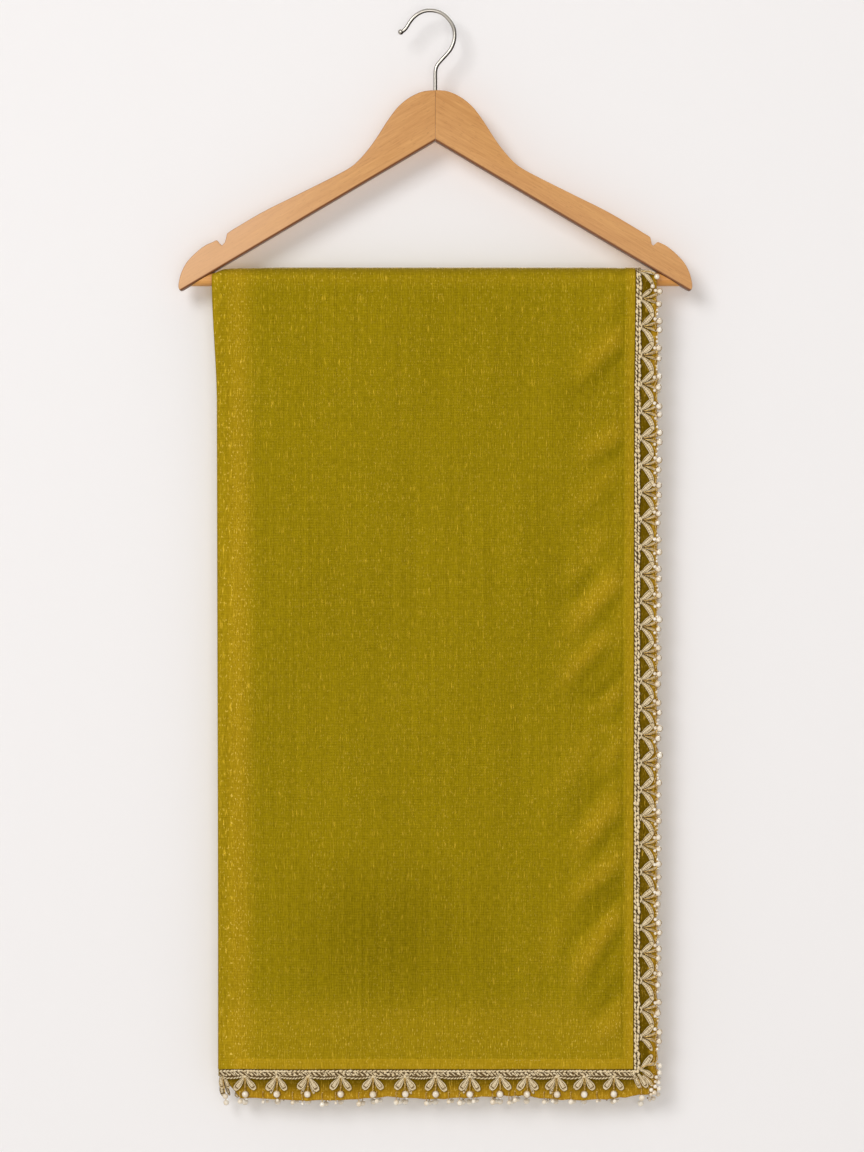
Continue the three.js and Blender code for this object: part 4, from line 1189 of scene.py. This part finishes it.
def tissue_finish(name, *colours):
    """Tissue cloth: a close weave shot with upright gold threads and painted pin-point glints. Painted light
    warms and brightens it and painted shade darkens it. The colours are those of its grooves and its body, of
    both where painted light falls and along the hems, of the gold thread and of the painted glints."""
    deep, body, warm_deep, warm_body, gold, spark = (colour(*shown) for shown in colours)
    material, flat = new_finish(name, "cloth")
    glow, dusk, hem = flat.kept("glow"), flat.kept("dusk"), flat.kept("hem")
    uneven = flat.stretched(12, 5).noise(1, 0.5)
    streak = flat.stretched(300, 6, shift=3).noise(2, 0.6)
    upright = flat.stretched(1150, 130, shift=1).noise(2, 0.6)
    crosswise = flat.stretched(150, 1150, shift=5).noise(1, 0.5)
    slub = flat.stretched(1350, 110, shift=7).noise(1, 0.5).above(0.57, 0.7)
    row = flat.stretched(430, 7, shift=17).noise(1, 0.5).above(0.42, 0.6)
    fleck = flat.stretched(1000, 150, shift=13).noise(1, 0.5).above(0.54, 0.7)
    glint = flat.stretched(1050, 330, shift=11).noise(1, 0.5).above(0.62, 0.73)
    lustre = flat.stretched(34, 12, shift=2).noise(2, 0.5).above(0.35, 0.7)
    weave = flat.wave(628, "X") + flat.wave(560, "Y")
    cloth_net = flat.wave(143, "X") + flat.wave(139, "Y")
    grain = (upright - 0.5) * 0.9 + (crosswise - 0.5) * 0.6 + (cloth_net - 1.0) * 0.09
    # Painted shade darkens the tone
    tone = grain + (uneven - 0.5) * 0.2 + (streak - 0.5) * 0.45 + 0.5 - dusk * 0.5
    # Painted light warms the colour towards its warm, lit copy; the hems warm it too
    warmth = glow * 0.6 + hem * 0.6
    base = warmth.blend(tone.blend(deep, body), tone.blend(warm_deep, warm_body))
    # More gold thread shows where painted light falls and less in painted shade
    shot = glow * 0.22 + lustre * 0.08 + row * 0.36 + 0.12 + hem * 0.25 - dusk * 0.35
    threads = slub * shot + fleck * (glow * 0.24 + hem * 0.2)
    tinted = threads.blend(base, gold)
    # Painted glints: pale gold points, more where painted light falls and fewer in painted shade
    tinted = (glint * (glow * 0.6 + lustre * 0.2 + 0.16 - dusk * 0.3)).blend(tinted, spark)
    height = upright * 0.5 + crosswise * 0.5 + slub * 0.5 + weave * 0.12
    set_shader(
        material, Base_Color=tinted, Metallic=0.12 + slub * 0.3, Normal=height.bump(0.00035, 0.6),
        Roughness=0.54 - slub * 0.14 - glow * 0.05 + (upright - 0.5) * 0.12,
        Specular_IOR_Level=0.3, Specular_Tint=colour(216, 176, 20),
        Sheen_Weight=0.06, Sheen_Roughness=0.4, Sheen_Tint=colour(226, 190, 40))
    return material


def thread_finish():
    """Ivory thread: cords with painted shade, dark brown, in their hollows and undersides, and satin stitch
    laid across each leaf.
    """
    material, place = new_finish("ivory_thread")
    tone, satin, along = place.kept("tone"), place.kept("satin"), place.kept("along")
    fibre = place.noise(3, 0.6, 1500)
    patch = place.noise(2, 0.5, 140)
    twist = place.noise(2, 0.5, 560, 0.6)
    laid = (along * 58 + twist * 3).sum("SINE")
    light = (patch * 0.7 + twist * 0.5 - 0.1).blend(colour(217, 188, 130), colour(255, 241, 208))
    light = (satin * 0.6).blend(light, colour(230, 212, 177))
    # Painted shade: where the tone is low, in the cords' hollows and undersides and at the leaves' rims and
    # grooves, the thread turns dark brown
    shown = (tone + (twist - 0.5) * 0.75 + laid * 0.14).above(0.08, 0.98).blend(colour(106, 76, 12), light)
    height = fibre * 0.5 + twist * 0.6 + laid * 0.35
    set_shader(material, Base_Color=shown, Roughness=0.62 + (fibre - 0.5) * 0.3,
               Normal=height.bump(0.0003, 0.6), Sheen_Weight=0.1)
    return material


def gold_finish():
    material, place = new_finish("gold_thread")
    twist = place.noise(2, 0.5, 900)
    set_shader(material, Base_Color=twist.above(0.3, 0.7).blend(colour(140, 96, 32), colour(236, 202, 120)),
               Roughness=0.38 + (twist - 0.5) * 0.3, Metallic=0.45, Normal=twist.bump(0.0002, 0.5))
    return material


def pearl_finish():
    material, place = new_finish("pearl")
    patch = place.noise(2, 0.5, 160)
    fine = place.noise(2, 0.5, 900)
    set_shader(material, Base_Color=patch.above(0.35, 0.65).blend(colour(236, 219, 192), colour(252, 243, 227)),
               Roughness=0.2 + fine * 0.14, Coat_Weight=0.5, Normal=fine.bump(0.0001, 0.15))
    return material


def stitch_finish():
    material, place = new_finish("hem_thread")
    tone = place.noise(2, 0.5, 260)
    set_shader(material, Base_Color=tone.above(0.3, 0.7).blend(colour(186, 154, 40), colour(230, 200, 92)),
               Roughness=0.5 + (tone - 0.5) * 0.3, Normal=place.noise(2, 0.5, 2600).bump(0.0001, 0.4))
    return material


def beech_finish(name, turn, painted_edge_shade, paler_end, darker=colour(190, 130, 68), paler=colour(222, 166, 100)):
    """Varnished beech. turn lays the grain along the piece. For the arms, painted shade darkens the lower edge
    and the side walls, and the last number is how much paler the arm gets towards its end."""
    material, place = new_finish(name)
    laid = place.made("ShaderNodeMapping", {"Vector": place, "Rotation": (0, turn, 0)})
    figure = laid.stretched(7, 60, 60).noise(3, 0.55, 1, 0.6)
    fibre = laid.stretched(45, 800, 800, 2).noise(3, 0.65)
    pores = laid.stretched(190, 1300, 1300, 4).noise(1, 0.5).above(0.62, 0.74)
    rings = laid.stretched(3, 26, 26, 1).noise(2, 0.5, 1, 1.2)
    tone = (figure - 0.5) * 0.9 + (fibre - 0.5) * 1.3 + (rings - 0.5) * 0.5 + 0.5
    base = tone.blend(darker, paler)
    base = (pores * 0.38).blend(base, colour(148, 92, 46))
    if painted_edge_shade:
        sides = [place.made("ShaderNodeSeparateXYZ", {0: place}, result=k) for k in range(3)]
        reach = (sides[0] - HANGER_X * MM).sum("ABSOLUTE")
        # The arm gets paler towards its end
        base = (reach.above(0.03, 0.19) * paler_end).blend(base, colour(232, 186, 146))
        # Painted shade: a dark brown line along the arm's lower edge
        low = sides[2] + reach * ARM_LOWER_SLOPE - ARM_LOWER_APEX_Z * MM
        under = 1 - low.above(1.2 * MM, 2.3 * MM)
        base = (under * 0.95).blend(base, colour(116, 60, 2))
        # Painted shade on the arm's side walls and rounded edges
        flank = 1 - sides[1].sum("ABSOLUTE").above(5.9 * MM, 6.85 * MM)
        base = (flank * 0.6).blend(base, colour(138, 88, 46))
    set_shader(material, Base_Color=base, Roughness=0.42 + (fibre - 0.5) * 0.2 + pores * 0.1,
               Coat_Weight=0.12, Coat_Roughness=0.3, Specular_IOR_Level=0.3,
               Normal=(fibre * 0.5 - pores * 0.6).bump(0.00012, 0.5))
    return material


def steel_finish():
    """Polished wire with painted shade, dark and a little rougher, along its lower right side."""
    material, place = new_finish("hook_steel")
    drawn = place.noise(1, 0.5, 70)
    cloud = place.noise(2, 0.5, 70)
    clean = cloud.blend(colour(182, 176, 166), colour(208, 202, 193))
    # Painted shade on the wire's lower right side
    painted_wire_shade = (place.kept("under") + (drawn - 0.5) * 0.06).above(0.12, 0.5)
    set_shader(material, Base_Color=painted_wire_shade.blend(clean, colour(58, 51, 42)),
               Roughness=0.27 + drawn * 0.05 + painted_wire_shade * 0.1, Metallic=1.0)
    return material


def give(piece, material, slot, *nodes):
    piece.data.materials.clear()
    piece.data.materials.append(material)
    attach(piece, "root")
    if nodes:
        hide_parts(*nodes)


# Putting it together
# Each cloth's warm pair is its lit copy for painted light. The mustard's dark groove and body colours are
# painted shade where the lace and the outer cloth cover it.
olive = tissue_finish("olive_tissue", (108, 93, 4), (168, 145, 16), (148, 118, 14), (198, 160, 32),
                      (206, 170, 48), (234, 199, 88))
mustard = tissue_finish("mustard_tissue", (78, 58, 2), (119, 93, 8), (172, 126, 16), (228, 176, 46),
                        (222, 178, 62), (240, 206, 104))

outer = outer_cloth()
give(outer, olive, "saree_cloth", "front_stretch", "back_stretch")
under = under_cloth()
give(under, mustard, "saree_under_cloth", "under_stretch")
inner = inner_folds()
give(inner, mustard, "saree_under_cloth", "hidden_layers")
stitches = hem_stitches()
give(stitches, stitch_finish(), "saree_cloth")

ivory, gold, pearl = thread_finish(), gold_finish(), pearl_finish()
for name, behind, hem, ties in (
    ("front", False, FRONT_HEM_DROP, SIDE_TIES),
    ("back", True, BACK_HEM_DROP, [tie * 1.01 for tie in SIDE_TIES]),
):
    bed = bed_on(behind, lace_base)
    chance, knot_chance = random.Random(12 if behind else 7), random.Random(5)
    side_work = side_lace(name, bed, hem, ties, chance, knot_chance)
    foot_work = foot_lace(name, bed, hem, chance, knot_chance)
    for works, node in ((side_work, f"side_lace_{name}"), (foot_work, f"foot_lace_{name}")):
        for work, finish in zip(works, (ivory, gold, pearl)):
            give(work, finish, "lace", node)
for pattern in PATTERNS.values():
    bpy.data.objects.remove(pattern)

give(hook(), steel_finish(), "hook_steel", "hook")
slope = math.atan(ARM_LOWER_SLOPE)
give(arm(-1), beech_finish("beech_left", slope, True, 0.5), "hanger_wood", "arm_left")
give(arm(1), beech_finish("beech_right", -slope, True, 0.1), "hanger_wood", "arm_right")
# The bar's beech is a lighter copy of the arms', painted light where the arms shade it
bar_beech = beech_finish("beech_bar", 0, False, 0, colour(206, 140, 68), colour(238, 176, 100))
give(bar(), bar_beech, "hanger_wood", "trouser_bar")

# Room: a pale wall close behind, which can't be seen from behind, and a pale floor
WALL_Y = 25
FLOOR_Z = -1230


def room_finish(name, shown, one_sided):
    material, place = new_finish(name)
    set_shader(material, Base_Color=colour(*shown), Roughness=0.9, Specular_IOR_Level=0.1)
    if one_sided:
        out = next(n for n in material.node_tree.nodes if n.type == "OUTPUT_MATERIAL").inputs["Surface"]
        behind = place.made("ShaderNodeNewGeometry", result="Backfacing")
        front = Socket(place.tree, out.links[0].from_socket)
        clear = place.made("ShaderNodeBsdfTransparent")
        mixed = place.made("ShaderNodeMixShader", {0: behind, 1: front, 2: clear})
        place.tree.links.new(mixed.output, out)
    return material


def room_plane(name, size, place, turn, material):
    let_go()
    bpy.ops.mesh.primitive_plane_add(size=size, location=place, rotation=turn)
    plane = bpy.context.object
    plane.name = name
    plane.data.materials.append(material)
    return plane


room_plane("floor", 12, (0, 0, FLOOR_Z * MM), (0, 0, 0), room_finish("pale_floor", (222, 219, 215), False))
wall = room_plane(
    "wall", 6, (0, WALL_Y * MM, -0.4), (math.pi / 2, 0, 0), room_finish("pale_wall", (246, 244, 245), True))
# The wall takes shadows but keeps no light from the saree's back
wall.visible_diffuse = wall.visible_glossy = wall.visible_transmission = wall.visible_shadow = False


def lamp(name, place, size, power):
    """A round lamp that faces the middle of the saree."""
    light = bpy.data.objects.new(name, bpy.data.lights.new(name, "AREA"))
    bpy.context.collection.objects.link(light)
    light.location = place
    light.rotation_euler = (Vector((0, 0, -0.5)) - Vector(place)).to_track_quat("-Z", "Y").to_euler()
    light.data.shape = "DISK"
    light.data.size = size
    light.data.energy = power


lamp("key", (-2.85, -5.85, 2.3), 3.2, 198)
lamp("fill", (0.25, -3.6, -0.75), 1.6, 25)
lamp("rear", (0.6, 2.6, 1.0), 1.8, 42)

world = bpy.data.worlds.new("studio")
bpy.context.scene.world = world
world.use_nodes = True
sky = world.node_tree.nodes["Background"]
sky.inputs["Color"].default_value = (1, 0.975, 0.94, 1)
sky.inputs["Strength"].default_value = 0.44
